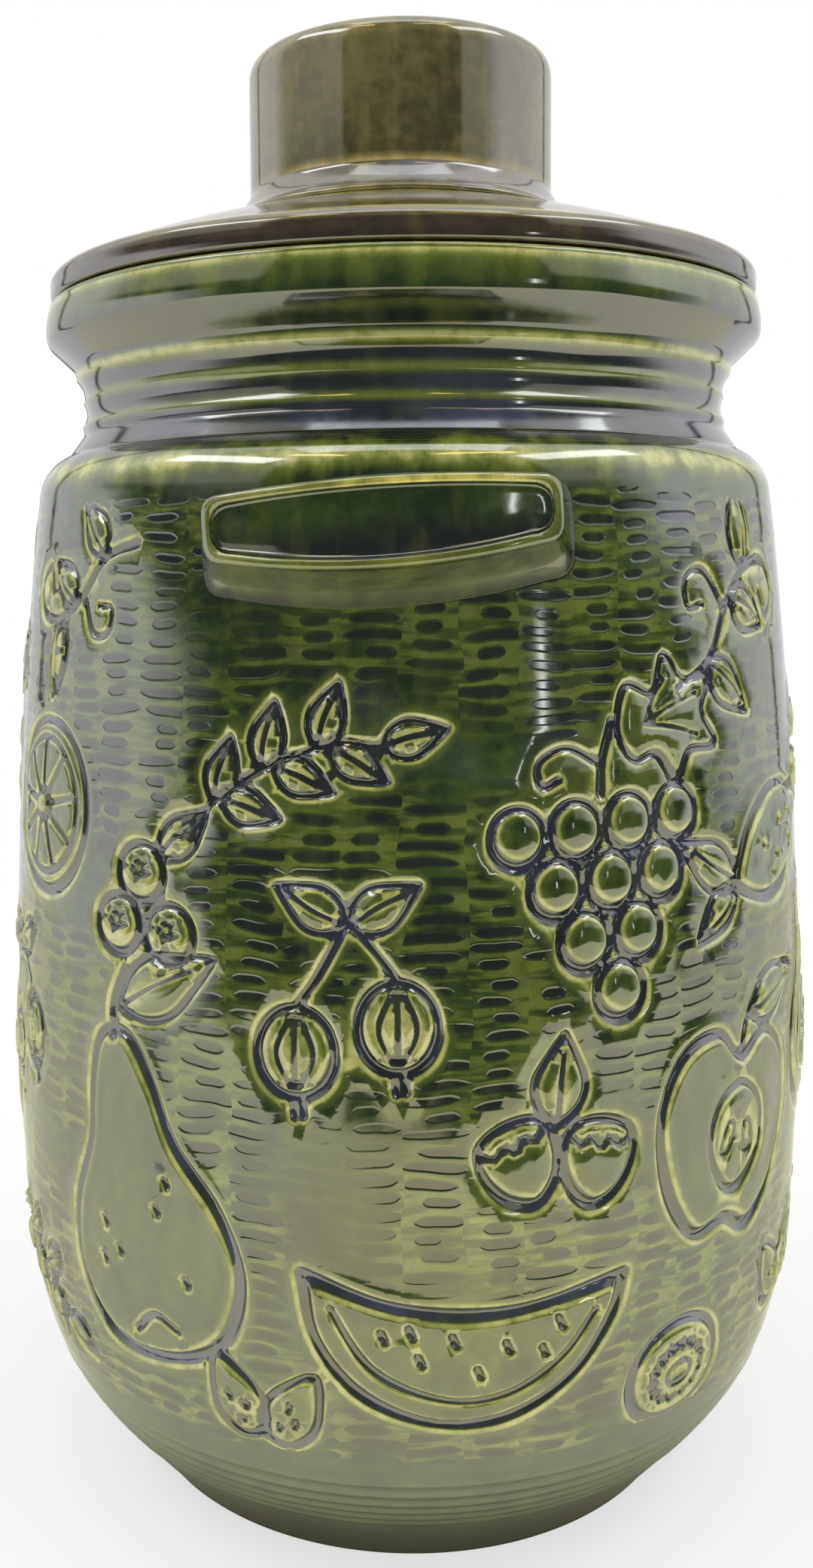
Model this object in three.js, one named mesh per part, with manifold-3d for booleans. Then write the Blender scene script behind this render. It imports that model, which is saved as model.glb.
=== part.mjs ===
import * as THREE from 'three';
import { mergeVertices, toCreasedNormals } from 'three/addons/utils/BufferGeometryUtils.js';
import Module from 'manifold-3d';

// A glazed stoneware rum pot with two ledge handles and a loose lid. Millimetres, +Z up, standing on Z = 0,
// with the pot's axis on Z and the front handle towards -Y.

// Pot outside
const potHeight = 270;
const footRadius = 65.5;
const footChamfer = 1;
const footRingWidth = 9;
const footRecess = 3;
const baseFlare = 23.6;
const baseRise = 30;
const bellyRadius = 94.4;
const bellyHeight = 100;
const bellyDrop = 70;
const sideRise = 40;
const sideFall = 45;
const sideLean = 5;
const shoulderRadius = 86.3;
const shoulderHeight = 226;
const shoulderCornerRadius = 85.6;
const shoulderCornerHeight = 232.6;
const shoulderTopRadius = 79.5;
const shoulderTopHeight = 235.4;

// Ridged neck
const neckRadius = 75.6;
const neckWaistHeight = 246;
const neckFlare = 0.03;
const neckFootRadius = 78.7;
const neckFootHeight = 236.3;
const neckConeRadius = 76.1;
const neckConeHeight = 239.9;
const crestCount = 3;
const crestPitch = 5.55;
const hollowDepth = 0.55;
const firstCrestHeight = 242.4;

// Rolled rim
const rimRadius = 83.8;
const rimUndersideRadius = 83.35;
const rimUndersideHeight = 261.4;
const rimThroatOut = 1.95;
const rimThroatRise = 4.39;
const rimBulge = 0.7;
const rimBulgeDrop = 6.4;
const rimFaceDrop = 2.6;
const rimEdgeRound = 1.6;
const rimEdgeInset = 1;
const rimTopInset = 2.6;

// Pot inside
const wallThickness = 6.5;
const floorHeight = 9;
const floorRadius = 58;
const floorSpread = 14;
const mouthRadius = 69.2;
const mouthRound = 2;
const neckInsideHeight = 241;
const shoulderInsideRadius = 79.6;
const shoulderInsideHeight = 222;
const shoulderInsideCornerRadius = 77.6;
const shoulderInsideCornerHeight = 232.5;

// Lid
const restGap = 0.3;
const lidRadius = 82.7;
const lidEdgeHeight = 6.5;
const lidEdgeRound = 1.7;
const lidThickness = 6.3;
const lidSlope = 0.32;
const lidCrown = 0.9;
const flangeRadius = 67.2;
const flangeWall = 4.5;
const flangeDepth = 10;
const flangeRound = 1.2;

// Knob
const knobRadius = 35.8;
const knobTopHeight = 330.1;
const knobCrown = 1.8;
const knobEdgeRound = 5;
const knobFootRadius = 41;
const knobFootEdge = 0.8;
const knobFlareWidth = 2.2;
const knobFlareRise = 2.2;
const knobWaistHeight = 297;
const knobWall = 6;
const knobHollowRadius = 28;

// Ledge handles. Heights are from the table, and reach is the distance of the front from the pot's axis.
const lugFace = { halfWidth: 33.1, corner: 2.8, topMid: 225.9, topEnd: 224.8, bottomMid: 209.5, bottomEnd: 212.1 };
const lugRoot = { halfWidth: 34.5, corner: 4, topMid: 226, topEnd: 223.5, bottomMid: 203.2, bottomEnd: 206.5 };
const lugFaceReach = 101.5;
const lugFaceBow = 8.5;
const lugRootReach = 84;
const lugRootBow = 6.8;
const lugEdgeRound = 1.8;
const lugLip = 2;
const lugDishDepth = 2.2;
const lugDishSteps = [0.8, 0.5, 0.2];
const lugEdgeSteps = 3;
const lugSmallestCorner = 1;
const lugCentreHeight = 218;
const lugTurn = THREE.MathUtils.degToRad(-4);
const lugTilt = THREE.MathUtils.degToRad(3.2);

// A few points round an oval.
const ovalPoints = 8;
function oval(x, y, halfWidth, halfHeight) {
  const curve = new THREE.EllipseCurve(x, y, halfWidth, halfHeight);
  return curve.getPoints(ovalPoints).slice(0, ovalPoints).map((point) => [point.x, point.y]);
}

// Fruit moulded on the wall. Outlines run across and up from the middle of each fruit.
const fruitForms = {
  pear: [[[-3.5, 30], [-11, 10], [-20, -14], [-13, -27], [0, -30], [13, -27], [20, -14], [11, 10], [3.5, 30]]],
  apple: [[[0, 14], [-9, 18], [-20, 6], [-16, -11], [-8, -18], [0, -16], [8, -18], [16, -11], [20, 6], [9, 18]]],
  melon: [[[0, 4], [-28, 9], [-27, -3], [-16, -14], [0, -18], [17, -13], [28, 0], [29, 9]]],
  lemon: [[[21, 0], [12, 8], [0, 11], [-11, 8.5], [-20, 0], [-11, -8.5], [0, -11], [12, -8]]],
  fig: [[[0, 23], [-12, 5], [-15, -8], [-10, -17], [0, -20.5], [10, -17], [15, -8], [12, 5]]],
  grapes: [[[19, 15], [0, 16], [-19, 15], [-22, 6], [-12, -12], [0, -26], [12, -12], [22, 6]]],
  pineapple: [oval(0, -8, 14.5, 20)],
  orange: [oval(0, 0, 20, 20)],
  kiwi: [oval(0, 0, 13, 11.5)],
  gooseberries: [oval(-9, -3, 7.2, 8.2), oval(9.5, 2, 7.2, 8.2)],
  blueberries: [oval(-7.5, -4, 6.3, 6.1), oval(6.5, -6.5, 6.3, 6.1), oval(0.5, 6.5, 6.3, 6.1)],
  hazelnuts: [oval(-8.8, 0, 7.6, 8.8), oval(8.2, -3, 7.6, 8.8)],
};
// Where each fruit sits: round the wall from the front, height, turn in degrees and size.
const fruitPlaces = [
  ['pear', -60, 84, 10, 1.1],
  ['orange', -94, 160, 0, 0.9],
  ['blueberries', -58, 144, 8, 0.95],
  ['gooseberries', -14, 122, 0, 1.05],
  ['melon', 8, 64, -4, 1.05],
  ['grapes', 38, 150, 4, 1.04],
  ['hazelnuts', 27, 98, 6, 0.95],
  ['apple', 72, 94, -10, 1.12],
  ['kiwi', 57, 47, 10, 0.95],
  ['lemon', 92, 152, 22, 0.95],
  ['fig', 118, 108, 12, 1.05],
  ['gooseberries', -110, 106, 8, 0.95],
  ['pineapple', 154, 126, 6, 1.2],
  ['blueberries', 124, 168, 0, 1],
  ['pear', 204, 86, -14, 1.06],
  ['orange', 202, 162, 0, 0.95],
  ['grapes', 248, 160, -6, 1.04],
  ['hazelnuts', 240, 108, 0, 1],
  ['melon', 256, 66, 6, 1],
  ['apple', -150, 92, 10, 1.12],
  ['grapes', -148, 160, 6, 1],
  ['kiwi', -148, 48, 0, 0.9],
  ['pineapple', -198, 118, -5, 1.16],
  ['fig', -240, 164, -8, 1.05],
  ['lemon', -248, 112, -18, 1.05],
  ['melon', -224, 58, 4, 0.84],
];
const fruitRound = 94;
// Size and lift of the rings of a fruit, from its root inside the wall up to its crown.
const fruitRings = [[1, -1], [0.97, 0.45], [0.66, 0.9]];
const fruitCrown = 1.2;
const berryReach = 10;
const fruitPoints = 14;
const berryPoints = 8;

// Fineness of the facets
const potSides = 52;
const knobSides = 40;
const lugPoints = 36;
const shareSteps = 8;
const smallestDetail = 0.02;
const creaseAngle = THREE.MathUtils.degToRad(32);
const weldDistance = 1e-4;

const wasm = await Module();
wasm.setup();

const at = (radius, height) => new THREE.Vector2(radius, height);
const line = (from, to) => new THREE.LineCurve(from, to);
const bend = (from, corner, to) => new THREE.QuadraticBezierCurve(from, corner, to);
const sweep = (from, leave, arrive, to) => new THREE.CubicBezierCurve(from, leave, arrive, to);

// Samples each stretch of a profile with its own number of steps.
function sample(stretches) {
  const points = [];
  for (const [curve, steps] of stretches) {
    const stretch = curve.getPoints(steps);
    points.push(...(points.length > 0 ? stretch.slice(1) : stretch));
  }
  return points;
}

// Turns a profile of radius and height about +Z.
function turned(profile, sides) {
  const geometry = new THREE.LatheGeometry(profile, sides);
  geometry.rotateX(Math.PI / 2);
  return geometry;
}

function crestRadius(height) {
  return neckRadius + neckFlare * (height - neckWaistHeight) ** 2;
}

// Fine crests up the neck, with a shallow hollow between each two.
function neckHollows() {
  const crests = [];
  for (let i = 0; i < crestCount; i++) {
    const height = firstCrestHeight + i * crestPitch;
    crests.push(at(crestRadius(height), height));
  }
  return crests.slice(1).map((upper, i) => {
    const lower = crests[i];
    const middle = (lower.y + upper.y) / 2;
    const hollow = at(crestRadius(middle) - 2 * hollowDepth, middle);
    return bend(lower, hollow, upper);
  });
}

// Barrel wall from the foot up to the shoulder, whose edge is rounded over towards the neck.
function barrelStretches() {
  const foot = at(footRadius, footChamfer);
  const belly = at(bellyRadius, bellyHeight);
  const shoulder = at(shoulderRadius, shoulderHeight);
  const shoulderTop = at(shoulderTopRadius, shoulderTopHeight);
  const base = sweep(foot, at(footRadius + baseFlare, baseRise), at(bellyRadius, bellyHeight - bellyDrop), belly);
  const sideArrive = at(shoulderRadius + sideLean, shoulderHeight - sideFall);
  const side = sweep(belly, at(bellyRadius, bellyHeight + sideRise), sideArrive, shoulder);
  const overShoulder = bend(shoulder, at(shoulderCornerRadius, shoulderCornerHeight), shoulderTop);
  return [[base, 9], [side, 6], [overShoulder, 3]];
}

function potProfile() {
  const ringInside = footRadius - footRingWidth;
  const barrel = barrelStretches();
  const shoulderTop = at(shoulderTopRadius, shoulderTopHeight);
  const hollows = neckHollows();
  const firstCrest = hollows[0].v0;
  const lastCrest = hollows[hollows.length - 1].v2;

  const rimUnderside = at(rimUndersideRadius, rimUndersideHeight);
  const rimTop = at(rimRadius - rimTopInset, potHeight);
  const rimSide = at(rimRadius - rimEdgeInset, potHeight - rimEdgeRound);
  const throatLeave = at(lastCrest.x + rimThroatOut, lastCrest.y + rimThroatRise);
  const throatArrive = at(rimUndersideRadius - rimThroatOut, rimUndersideHeight - rimThroatRise);
  const neckFoot = at(neckFootRadius, neckFootHeight);
  const neckCone = at(neckConeRadius, neckConeHeight);
  const rimLeave = at(rimRadius + rimBulge, potHeight - rimBulgeDrop);
  const rimArrive = at(rimRadius, potHeight - rimFaceDrop);

  const mouth = at(mouthRadius, potHeight - mouthRound);
  const mouthTop = at(mouthRadius + mouthRound, potHeight);
  const neckInside = at(mouthRadius, neckInsideHeight);
  const shoulderInside = at(shoulderInsideRadius, shoulderInsideHeight);
  const bellyInside = at(bellyRadius - wallThickness, bellyHeight);
  const floorEdge = at(floorRadius, floorHeight);
  const shoulderCorner = at(shoulderInsideCornerRadius, shoulderInsideCornerHeight);
  const sideLeave = at(shoulderInsideRadius + sideLean, shoulderInsideHeight - sideFall);
  const sideInside = sweep(shoulderInside, sideLeave, at(bellyInside.x, bellyHeight + sideRise), bellyInside);
  const baseLeave = at(bellyInside.x, bellyHeight - bellyDrop);
  const baseInside = sweep(bellyInside, baseLeave, at(floorRadius + floorSpread, floorHeight), floorEdge);

  return sample([
    [line(at(0, footRecess), at(ringInside - footRecess, footRecess)), 1],
    [line(at(ringInside - footRecess, footRecess), at(ringInside, 0)), 1],
    [line(at(ringInside, 0), at(footRadius - footChamfer, 0)), 1],
    [line(at(footRadius - footChamfer, 0), at(footRadius, footChamfer)), 1],
    ...barrel,
    [line(shoulderTop, neckFoot), 1],
    [line(neckFoot, neckCone), 1],
    [line(neckCone, firstCrest), 1],
    ...hollows.map((hollow) => [hollow, 3]),
    [sweep(lastCrest, throatLeave, throatArrive, rimUnderside), 4],
    [sweep(rimUnderside, rimLeave, rimArrive, rimSide), 4],
    [bend(rimSide, at(rimSide.x, potHeight), rimTop), 2],
    [line(rimTop, mouthTop), 1],
    [bend(mouthTop, at(mouthRadius, potHeight), mouth), 2],
    [line(mouth, neckInside), 1],
    [bend(neckInside, shoulderCorner, shoulderInside), 3],
    [sideInside, 3],
    [baseInside, 5],
    [line(floorEdge, at(0, floorHeight)), 1],
  ]);
}

const lidRest = potHeight + restGap;
const lidTopEdge = lidRest + lidEdgeHeight;
const knobSeat = lidTopEdge + (lidRadius - lidEdgeRound - knobFootRadius) * lidSlope;

// Shallow cone with a flat seat for the knob, a rounded edge that rests on the rim, and a flange below.
function lidProfile() {
  const flangeInside = flangeRadius - flangeWall;
  const flangeBottom = lidRest - flangeDepth;
  const hollowEdge = lidTopEdge + (lidRadius - flangeInside) * lidSlope - lidThickness;
  const lowerEdge = at(lidRadius - lidEdgeRound, lidRest);
  const lowerSide = at(lidRadius, lidRest + lidEdgeRound);
  const upperSide = at(lidRadius, lidTopEdge - lidEdgeRound);
  const upperEdge = at(lidRadius - lidEdgeRound, lidTopEdge);
  const seatEdge = at(knobFootRadius, knobSeat);
  const holeBottom = at(knobHollowRadius, knobSeat - lidThickness);
  const coneInside = at(knobFootRadius, knobSeat - lidThickness);
  const crown = at((lidRadius + knobFootRadius) / 2, (lidTopEdge + knobSeat) / 2 + lidCrown);
  return sample([
    [line(holeBottom, coneInside), 1],
    [line(coneInside, at(flangeInside, hollowEdge)), 1],
    [line(at(flangeInside, hollowEdge), at(flangeInside, flangeBottom + flangeRound)), 1],
    [line(at(flangeInside, flangeBottom + flangeRound), at(flangeInside + flangeRound, flangeBottom)), 1],
    [line(at(flangeInside + flangeRound, flangeBottom), at(flangeRadius - flangeRound, flangeBottom)), 1],
    [line(at(flangeRadius - flangeRound, flangeBottom), at(flangeRadius, flangeBottom + flangeRound)), 1],
    [line(at(flangeRadius, flangeBottom + flangeRound), at(flangeRadius, lidRest)), 1],
    [line(at(flangeRadius, lidRest), lowerEdge), 1],
    [bend(lowerEdge, at(lidRadius, lidRest), lowerSide), 3],
    [line(lowerSide, upperSide), 1],
    [bend(upperSide, at(lidRadius, lidTopEdge), upperEdge), 3],
    [bend(upperEdge, crown, seatEdge), 4],
    [line(seatEdge, at(knobHollowRadius, knobSeat)), 1],
    [line(at(knobHollowRadius, knobSeat), holeBottom), 1],
  ]);
}

// Hollow knob, open underneath, with a flared foot and a softly domed top.
function knobProfile() {
  const footBottom = knobSeat + restGap;
  const hollowTop = knobTopHeight - knobWall;
  const hollow = at(knobHollowRadius, hollowTop - knobWall);
  const hollowFoot = at(knobHollowRadius, footBottom);
  const toe = at(knobFootRadius, footBottom + knobFootEdge);
  const waist = at(knobRadius, knobWaistHeight);
  const crownStart = knobTopHeight - knobCrown;
  const side = at(knobRadius, crownStart - knobEdgeRound);
  const shoulder = at(knobRadius - knobEdgeRound, crownStart);
  const top = at(0, knobTopHeight);
  return sample([
    [bend(at(0, hollowTop), at(knobHollowRadius, hollowTop), hollow), 4],
    [line(hollow, hollowFoot), 1],
    [line(hollowFoot, at(knobFootRadius, footBottom)), 1],
    [line(at(knobFootRadius, footBottom), toe), 1],
    [bend(toe, at(knobRadius + knobFlareWidth, footBottom + knobFlareRise), waist), 5],
    [line(waist, side), 1],
    [bend(side, at(knobRadius, crownStart), shoulder), 4],
    [bend(shoulder, at(knobRadius / 2, knobTopHeight), top), 4],
  ]);
}

// Lens-shaped outline of a handle across and up, drawn in by an inset.
function lugOutline(form, inset) {
  const half = form.halfWidth - inset;
  const corner = Math.max(form.corner - inset, lugSmallestCorner);
  const top = form.topEnd - inset;
  const bottom = form.bottomEnd + inset;
  const topArch = 2 * (form.topMid - inset) - top;
  const bottomArch = 2 * (form.bottomMid + inset) - bottom;
  const shape = new THREE.Shape();
  shape.moveTo(half, bottom + corner);
  shape.lineTo(half, top - corner);
  shape.quadraticCurveTo(half, top, half - corner, top);
  shape.quadraticCurveTo(0, topArch, corner - half, top);
  shape.quadraticCurveTo(-half, top, -half, top - corner);
  shape.lineTo(-half, bottom + corner);
  shape.quadraticCurveTo(-half, bottom, corner - half, bottom);
  shape.quadraticCurveTo(0, bottomArch, half - corner, bottom);
  shape.quadraticCurveTo(half, bottom, half, bottom + corner);
  return shape.getSpacedPoints(lugPoints).slice(0, lugPoints);
}

// Stands an outline in front of the pot, bowed back towards its ends.
function lugRing(outline, reach, bow) {
  const bowed = (x) => reach - bow * (x / lugFace.halfWidth) ** 2;
  return outline.map((point) => new THREE.Vector3(point.x, -bowed(point.x), point.y));
}

function middleOf(points) {
  return points.reduce((sum, point) => sum.add(point), new THREE.Vector3()).divideScalar(points.length);
}

// Skins a row of rings that have the same number of points, and closes both ends.
function loft(rings, tip = middleOf(rings[rings.length - 1])) {
  const count = rings[0].length;
  const last = rings.length - 1;
  const positions = [...rings.flat(), middleOf(rings[0]), tip];
  const startCap = rings.length * count;
  const endCap = startCap + 1;
  const faces = [];
  for (let i = 0; i < count; i++) {
    const next = (i + 1) % count;
    faces.push(startCap, next, i);
    faces.push(endCap, last * count + i, last * count + next);
    for (let ring = 0; ring < last; ring++) {
      const near = ring * count;
      const far = near + count;
      faces.push(near + i, near + next, far + next);
      faces.push(near + i, far + next, far + i);
    }
  }
  const geometry = new THREE.BufferGeometry().setFromPoints(positions);
  geometry.setIndex(faces);
  return geometry;
}

function solidOf(geometry) {
  const bare = geometry.clone();
  bare.deleteAttribute('normal');
  bare.deleteAttribute('uv');
  const merged = mergeVertices(bare, weldDistance);
  const vertProperties = new Float32Array(merged.attributes.position.array);
  const triVerts = new Uint32Array(merged.index.array);
  return new wasm.Manifold(new wasm.Mesh({ numProp: 3, vertProperties, triVerts }));
}

function geometryOf(solid) {
  const mesh = solid.getMesh();
  const geometry = new THREE.BufferGeometry();
  geometry.setAttribute('position', new THREE.Float32BufferAttribute(mesh.vertProperties, 3));
  geometry.setIndex(Array.from(mesh.triVerts));
  geometry.computeVertexNormals();
  return geometry;
}

const wall = new THREE.CurvePath();
for (const [curve] of barrelStretches().slice(0, 2)) wall.add(curve);

// Share of the wall's length, from the foot, at which it reaches a height.
function shareAt(height) {
  let share = height / wall.getPoint(1).y;
  for (let step = 0; step < shareSteps; step++) {
    share += (height - wall.getPoint(share).y) / wall.getLength();
  }
  return share;
}

// A spot on the wall by its way round and up, lifted off the wall.
function onWall(across, share, lift) {
  const spot = wall.getPoint(share);
  const along = wall.getTangent(share);
  const radius = spot.x + lift * along.y;
  const turn = across / fruitRound;
  return new THREE.Vector3(radius * Math.sin(turn), -radius * Math.cos(turn), spot.y - lift * along.x);
}

// Rounded body that stands off the wall within an outline.
function fruitBody(outline, across, height, turn, size) {
  const curve = new THREE.CatmullRomCurve3(outline.map(([x, y]) => new THREE.Vector3(x, y, 0)), true);
  const reach = new THREE.Box3().setFromPoints(curve.points).getSize(new THREE.Vector3()).x / 2;
  const count = reach < berryReach ? berryPoints : fruitPoints;
  const edge = curve.getSpacedPoints(count).slice(0, count);
  const middle = middleOf(edge);
  const out = new THREE.Vector3(0, 0, 1);
  const middleShare = shareAt(height);
  const place = (point, scale, lift) => {
    const spot = middle.clone().lerp(point, scale).applyAxisAngle(out, THREE.MathUtils.degToRad(turn));
    return onWall(across + spot.x * size, middleShare + (spot.y * size) / wall.getLength(), lift);
  };
  const rings = fruitRings.map(([scale, lift]) => edge.map((point) => place(point, scale, lift)));
  return solidOf(loft(rings, place(middle, 0, fruitCrown)));
}

// Turned body with the fruit joined to its wall.
function potGeometry() {
  const bodies = [solidOf(turned(potProfile(), potSides))];
  for (const [fruit, ...place] of fruitPlaces) {
    bodies.push(...fruitForms[fruit].map((outline) => fruitBody(outline, ...place)));
  }
  return toCreasedNormals(geometryOf(wasm.Manifold.union(bodies).simplify(smallestDetail)), creaseAngle);
}

// A ring of the barrel's own outside, a little larger, that shapes the back of a handle.
function barrelCutter() {
  const core = footRadius - footRingWidth;
  const barrel = sample(barrelStretches()).filter((point) => point.y > bellyHeight);
  const outside = barrel.map((point) => at(point.x + restGap, point.y));
  const bottom = outside[0];
  const top = outside[outside.length - 1];
  const profile = [at(core, bottom.y), ...outside, at(core, top.y), at(core, bottom.y)];
  return solidOf(turned(profile, potSides).rotateZ(-lugTurn));
}

// Ledge handle with rounded edges and a dished front, shaped to the barrel behind it.
function lugGeometry() {
  const rings = [lugRing(lugOutline(lugRoot, 0), lugRootReach, lugRootBow)];
  for (let step = 0; step < lugEdgeSteps; step++) {
    const turn = (step / (lugEdgeSteps - 1)) * (Math.PI / 2);
    const inset = lugEdgeRound * (1 - Math.cos(turn));
    const setback = lugEdgeRound * (1 - Math.sin(turn));
    rings.push(lugRing(lugOutline(lugFace, inset), lugFaceReach - setback, lugFaceBow));
  }
  const lip = lugOutline(lugFace, lugLip);
  for (const size of lugDishSteps) {
    const dish = lip.map((point) => at(point.x * size, lugCentreHeight + (point.y - lugCentreHeight) * size));
    rings.push(lugRing(dish, lugFaceReach - lugDishDepth * (1 - size * size), lugFaceBow));
  }
  const body = loft(rings);
  body.translate(0, 0, -lugCentreHeight);
  body.rotateY(-lugTilt);
  body.translate(0, 0, lugCentreHeight);
  return geometryOf(solidOf(body).subtract(barrelCutter()));
}

const greenGlaze = new THREE.MeshStandardMaterial({ color: 0x46571f, roughness: 0.15, metalness: 0 });
const handleGlaze = new THREE.MeshStandardMaterial({ color: 0x4f611f, roughness: 0.15, metalness: 0 });
const lidGlaze = new THREE.MeshStandardMaterial({ color: 0x4b3f2e, roughness: 0.15, metalness: 0 });
const knobGlaze = new THREE.MeshStandardMaterial({ color: 0x5a5230, roughness: 0.15, metalness: 0 });

function named(name, geometry, material) {
  const mesh = new THREE.Mesh(geometry, material);
  mesh.name = name;
  return mesh;
}

const rumPot = new THREE.Group();
const pot = new THREE.Group();
const cover = new THREE.Group();
rumPot.add(pot, cover);

const lug = lugGeometry();
const lugFront = named('lug_handle_front', lug, handleGlaze);
const lugBack = named('lug_handle_back', lug, handleGlaze);
lugFront.rotation.z = lugTurn;
lugBack.rotation.z = lugTurn + Math.PI;

pot.add(named('pot_body', potGeometry(), greenGlaze), lugFront, lugBack);
cover.add(named('lid', turned(lidProfile(), potSides), lidGlaze));
cover.add(named('lid_knob', turned(knobProfile(), knobSides), knobGlaze));

export default rumPot;
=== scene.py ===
import math
import bmesh
import bpy
import numpy as np
from mathutils import Matrix, Vector, kdtree
from mathutils.geometry import delaunay_2d_cdt, interpolate_bezier


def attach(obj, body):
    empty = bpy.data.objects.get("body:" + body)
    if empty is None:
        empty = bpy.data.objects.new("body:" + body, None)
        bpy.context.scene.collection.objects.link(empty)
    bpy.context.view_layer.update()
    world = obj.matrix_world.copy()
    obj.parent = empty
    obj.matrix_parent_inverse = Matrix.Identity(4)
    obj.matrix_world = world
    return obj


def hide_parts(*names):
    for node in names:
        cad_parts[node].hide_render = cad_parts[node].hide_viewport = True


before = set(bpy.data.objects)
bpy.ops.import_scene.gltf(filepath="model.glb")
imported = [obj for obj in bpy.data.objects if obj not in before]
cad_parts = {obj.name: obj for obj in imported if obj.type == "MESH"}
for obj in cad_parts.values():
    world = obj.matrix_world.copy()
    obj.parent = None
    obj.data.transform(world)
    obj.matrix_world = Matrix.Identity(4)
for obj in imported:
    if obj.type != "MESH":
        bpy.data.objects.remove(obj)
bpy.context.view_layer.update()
mm = 0.001  # shapes below are written in millimetres
scene = bpy.context.scene
scene.view_settings.view_transform = "Standard"
print("frame loaded")


def toneOf(red, green, blue):  # a screen colour as the linear values of a socket
    parts = [value / 255 for value in (red, green, blue)]
    lin = [p / 12.92 if p <= 0.04045 else ((p + 0.055) / 1.055) ** 2.4 for p in parts]
    return (*lin, 1.0)


def cubicPath(a, b, c, d, steps):
    ends = [Vector((p[0], p[1], 0)) for p in (a, b, c, d)]
    return [(p.x, p.y) for p in interpolate_bezier(*ends, steps + 1)]


def quadPath(a, b, c, steps):
    leave = [a[i] + (b[i] - a[i]) * 2 / 3 for i in (0, 1)]
    arrive = [c[i] + (b[i] - c[i]) * 2 / 3 for i in (0, 1)]
    return cubicPath(a, leave, arrive, c, steps)


def straightPath(a, b, steps):
    return [tuple(a[i] + (b[i] - a[i]) * k / steps for i in (0, 1)) for k in range(steps + 1)]


def runAlong(points):  # length along a line at each of its points
    return np.concatenate([[0], np.cumsum(np.hypot(*np.diff(points, axis=0).T))])


def pointsAt(points, run, spots):
    return np.column_stack([np.interp(spots, run, points[:, k]) for k in (0, 1)])


def treeOf(points):  # for finding the nearest of some flat points
    tree = kdtree.KDTree(len(points))
    for index, (x, y) in enumerate(points):
        tree.insert((x, y, 0), index)
    tree.balance()
    return tree


def bell(t, centre, width):
    return math.exp(-((t - centre) / width) ** 2)


def aim(turn):
    return math.cos(math.radians(turn)), math.sin(math.radians(turn))


def spinPath(bm, path, turns):
    verts = [bm.verts.new((0, r * mm, z * mm)) for r, z in path]
    edges = [bm.edges.new(pair) for pair in zip(verts, verts[1:])]
    bmesh.ops.spin(bm, geom=verts + edges, cent=(0, 0, 0), axis=(0, 0, 1),
                   angle=2 * math.pi, steps=turns, use_merge=True)


def tagFromPath(bm, path, tags, layers):  # tags: one value per path point for each layer
    tree = treeOf(path)
    for vert in bm.verts:
        spot = (math.hypot(vert.co.x, vert.co.y) / mm, vert.co.z / mm, 0)
        index = tree.find(spot)[1]
        for layer, value in zip(layers, tags[index]):
            vert[layer] = value


def addPiece(name, bm, materials, body, node):
    bmesh.ops.remove_doubles(bm, verts=bm.verts, dist=0.003 * mm)
    bmesh.ops.recalc_face_normals(bm, faces=bm.faces)
    mesh = bpy.data.meshes.new(name)
    bm.to_mesh(mesh)
    openEdges = sum(1 for edge in bm.edges if len(edge.link_faces) != 2)
    bm.free()
    for material in materials:
        mesh.materials.append(material)
    mesh.shade_smooth()
    piece = bpy.data.objects.new(name, mesh)
    scene.collection.objects.link(piece)
    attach(piece, body)
    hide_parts(node)
    print(name, len(mesh.polygons), "faces", openEdges, "open edges")
    return piece


class NodeSheet:  # short calls that lay nodes on one tree
    def __init__(self, tree):
        self.tree = tree

    def add(self, kind, settings=None, **sockets):  # a socket is named, or i0, i1 ... by its place
        node = self.tree.nodes.new(kind)
        for key, value in (settings or {}).items():
            setattr(node, key, value)
        for key, value in sockets.items():
            byPlace = key[0] == "i" and key[1:].isdigit()
            socket = node.inputs[int(key[1:])] if byPlace else node.inputs[key.replace("_", " ")]
            if isinstance(value, bpy.types.NodeSocket):
                self.tree.links.new(value, socket)
            else:
                socket.default_value = value
        return node

    def calc(self, operation, a, b=0.0, clamp=False):
        settings = {"operation": operation, "use_clamp": clamp}
        return self.add("ShaderNodeMath", settings, i0=a, i1=b).outputs[0]

    def times(self, a, b, clamp=False):
        return self.calc("MULTIPLY", a, b, clamp)

    def plus(self, a, b, clamp=False):
        return self.calc("ADD", a, b, clamp)

    def minus(self, a, b, clamp=False):
        return self.calc("SUBTRACT", a, b, clamp)

    def most(self, a, b):
        return self.calc("MAXIMUM", a, b)

    def ease(self, value, low, high, atLow=0.0, atHigh=1.0):
        settings = {"interpolation_type": "SMOOTHSTEP"}
        ends = {"i1": low, "i2": high, "i3": atLow, "i4": atHigh}
        return self.add("ShaderNodeMapRange", settings, i0=value, **ends).outputs[0]

    def mix(self, factor, a, b):
        return self.add("ShaderNodeMix", {"data_type": "RGBA"}, i0=factor, i6=a, i7=b).outputs[2]

    def attribute(self, name):
        return self.add("ShaderNodeAttribute", {"attribute_name": name}).outputs["Fac"]

    def noise(self, place, scale, detail, roughness=0.5):
        grain = {"Scale": scale, "Detail": detail, "Roughness": roughness}
        return self.add("ShaderNodeTexNoise", Vector=place, **grain).outputs[0]

    def place(self):
        return self.add("ShaderNodeTexCoord").outputs["Object"]

    def axes(self, vector):
        return self.add("ShaderNodeSeparateXYZ", i0=vector).outputs


def newGroup(name, colours=(), amounts=(), outColours=(), outAmounts=()):
    tree = bpy.data.node_groups.new(name, "ShaderNodeTree")
    for names, way, kind in ((colours, "INPUT", "Color"), (amounts, "INPUT", "Float"),
                             (outColours, "OUTPUT", "Color"), (outAmounts, "OUTPUT", "Float")):
        for key in names:
            tree.interface.new_socket(key, in_out=way, socket_type="NodeSocket" + kind)
    return NodeSheet(tree)


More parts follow.
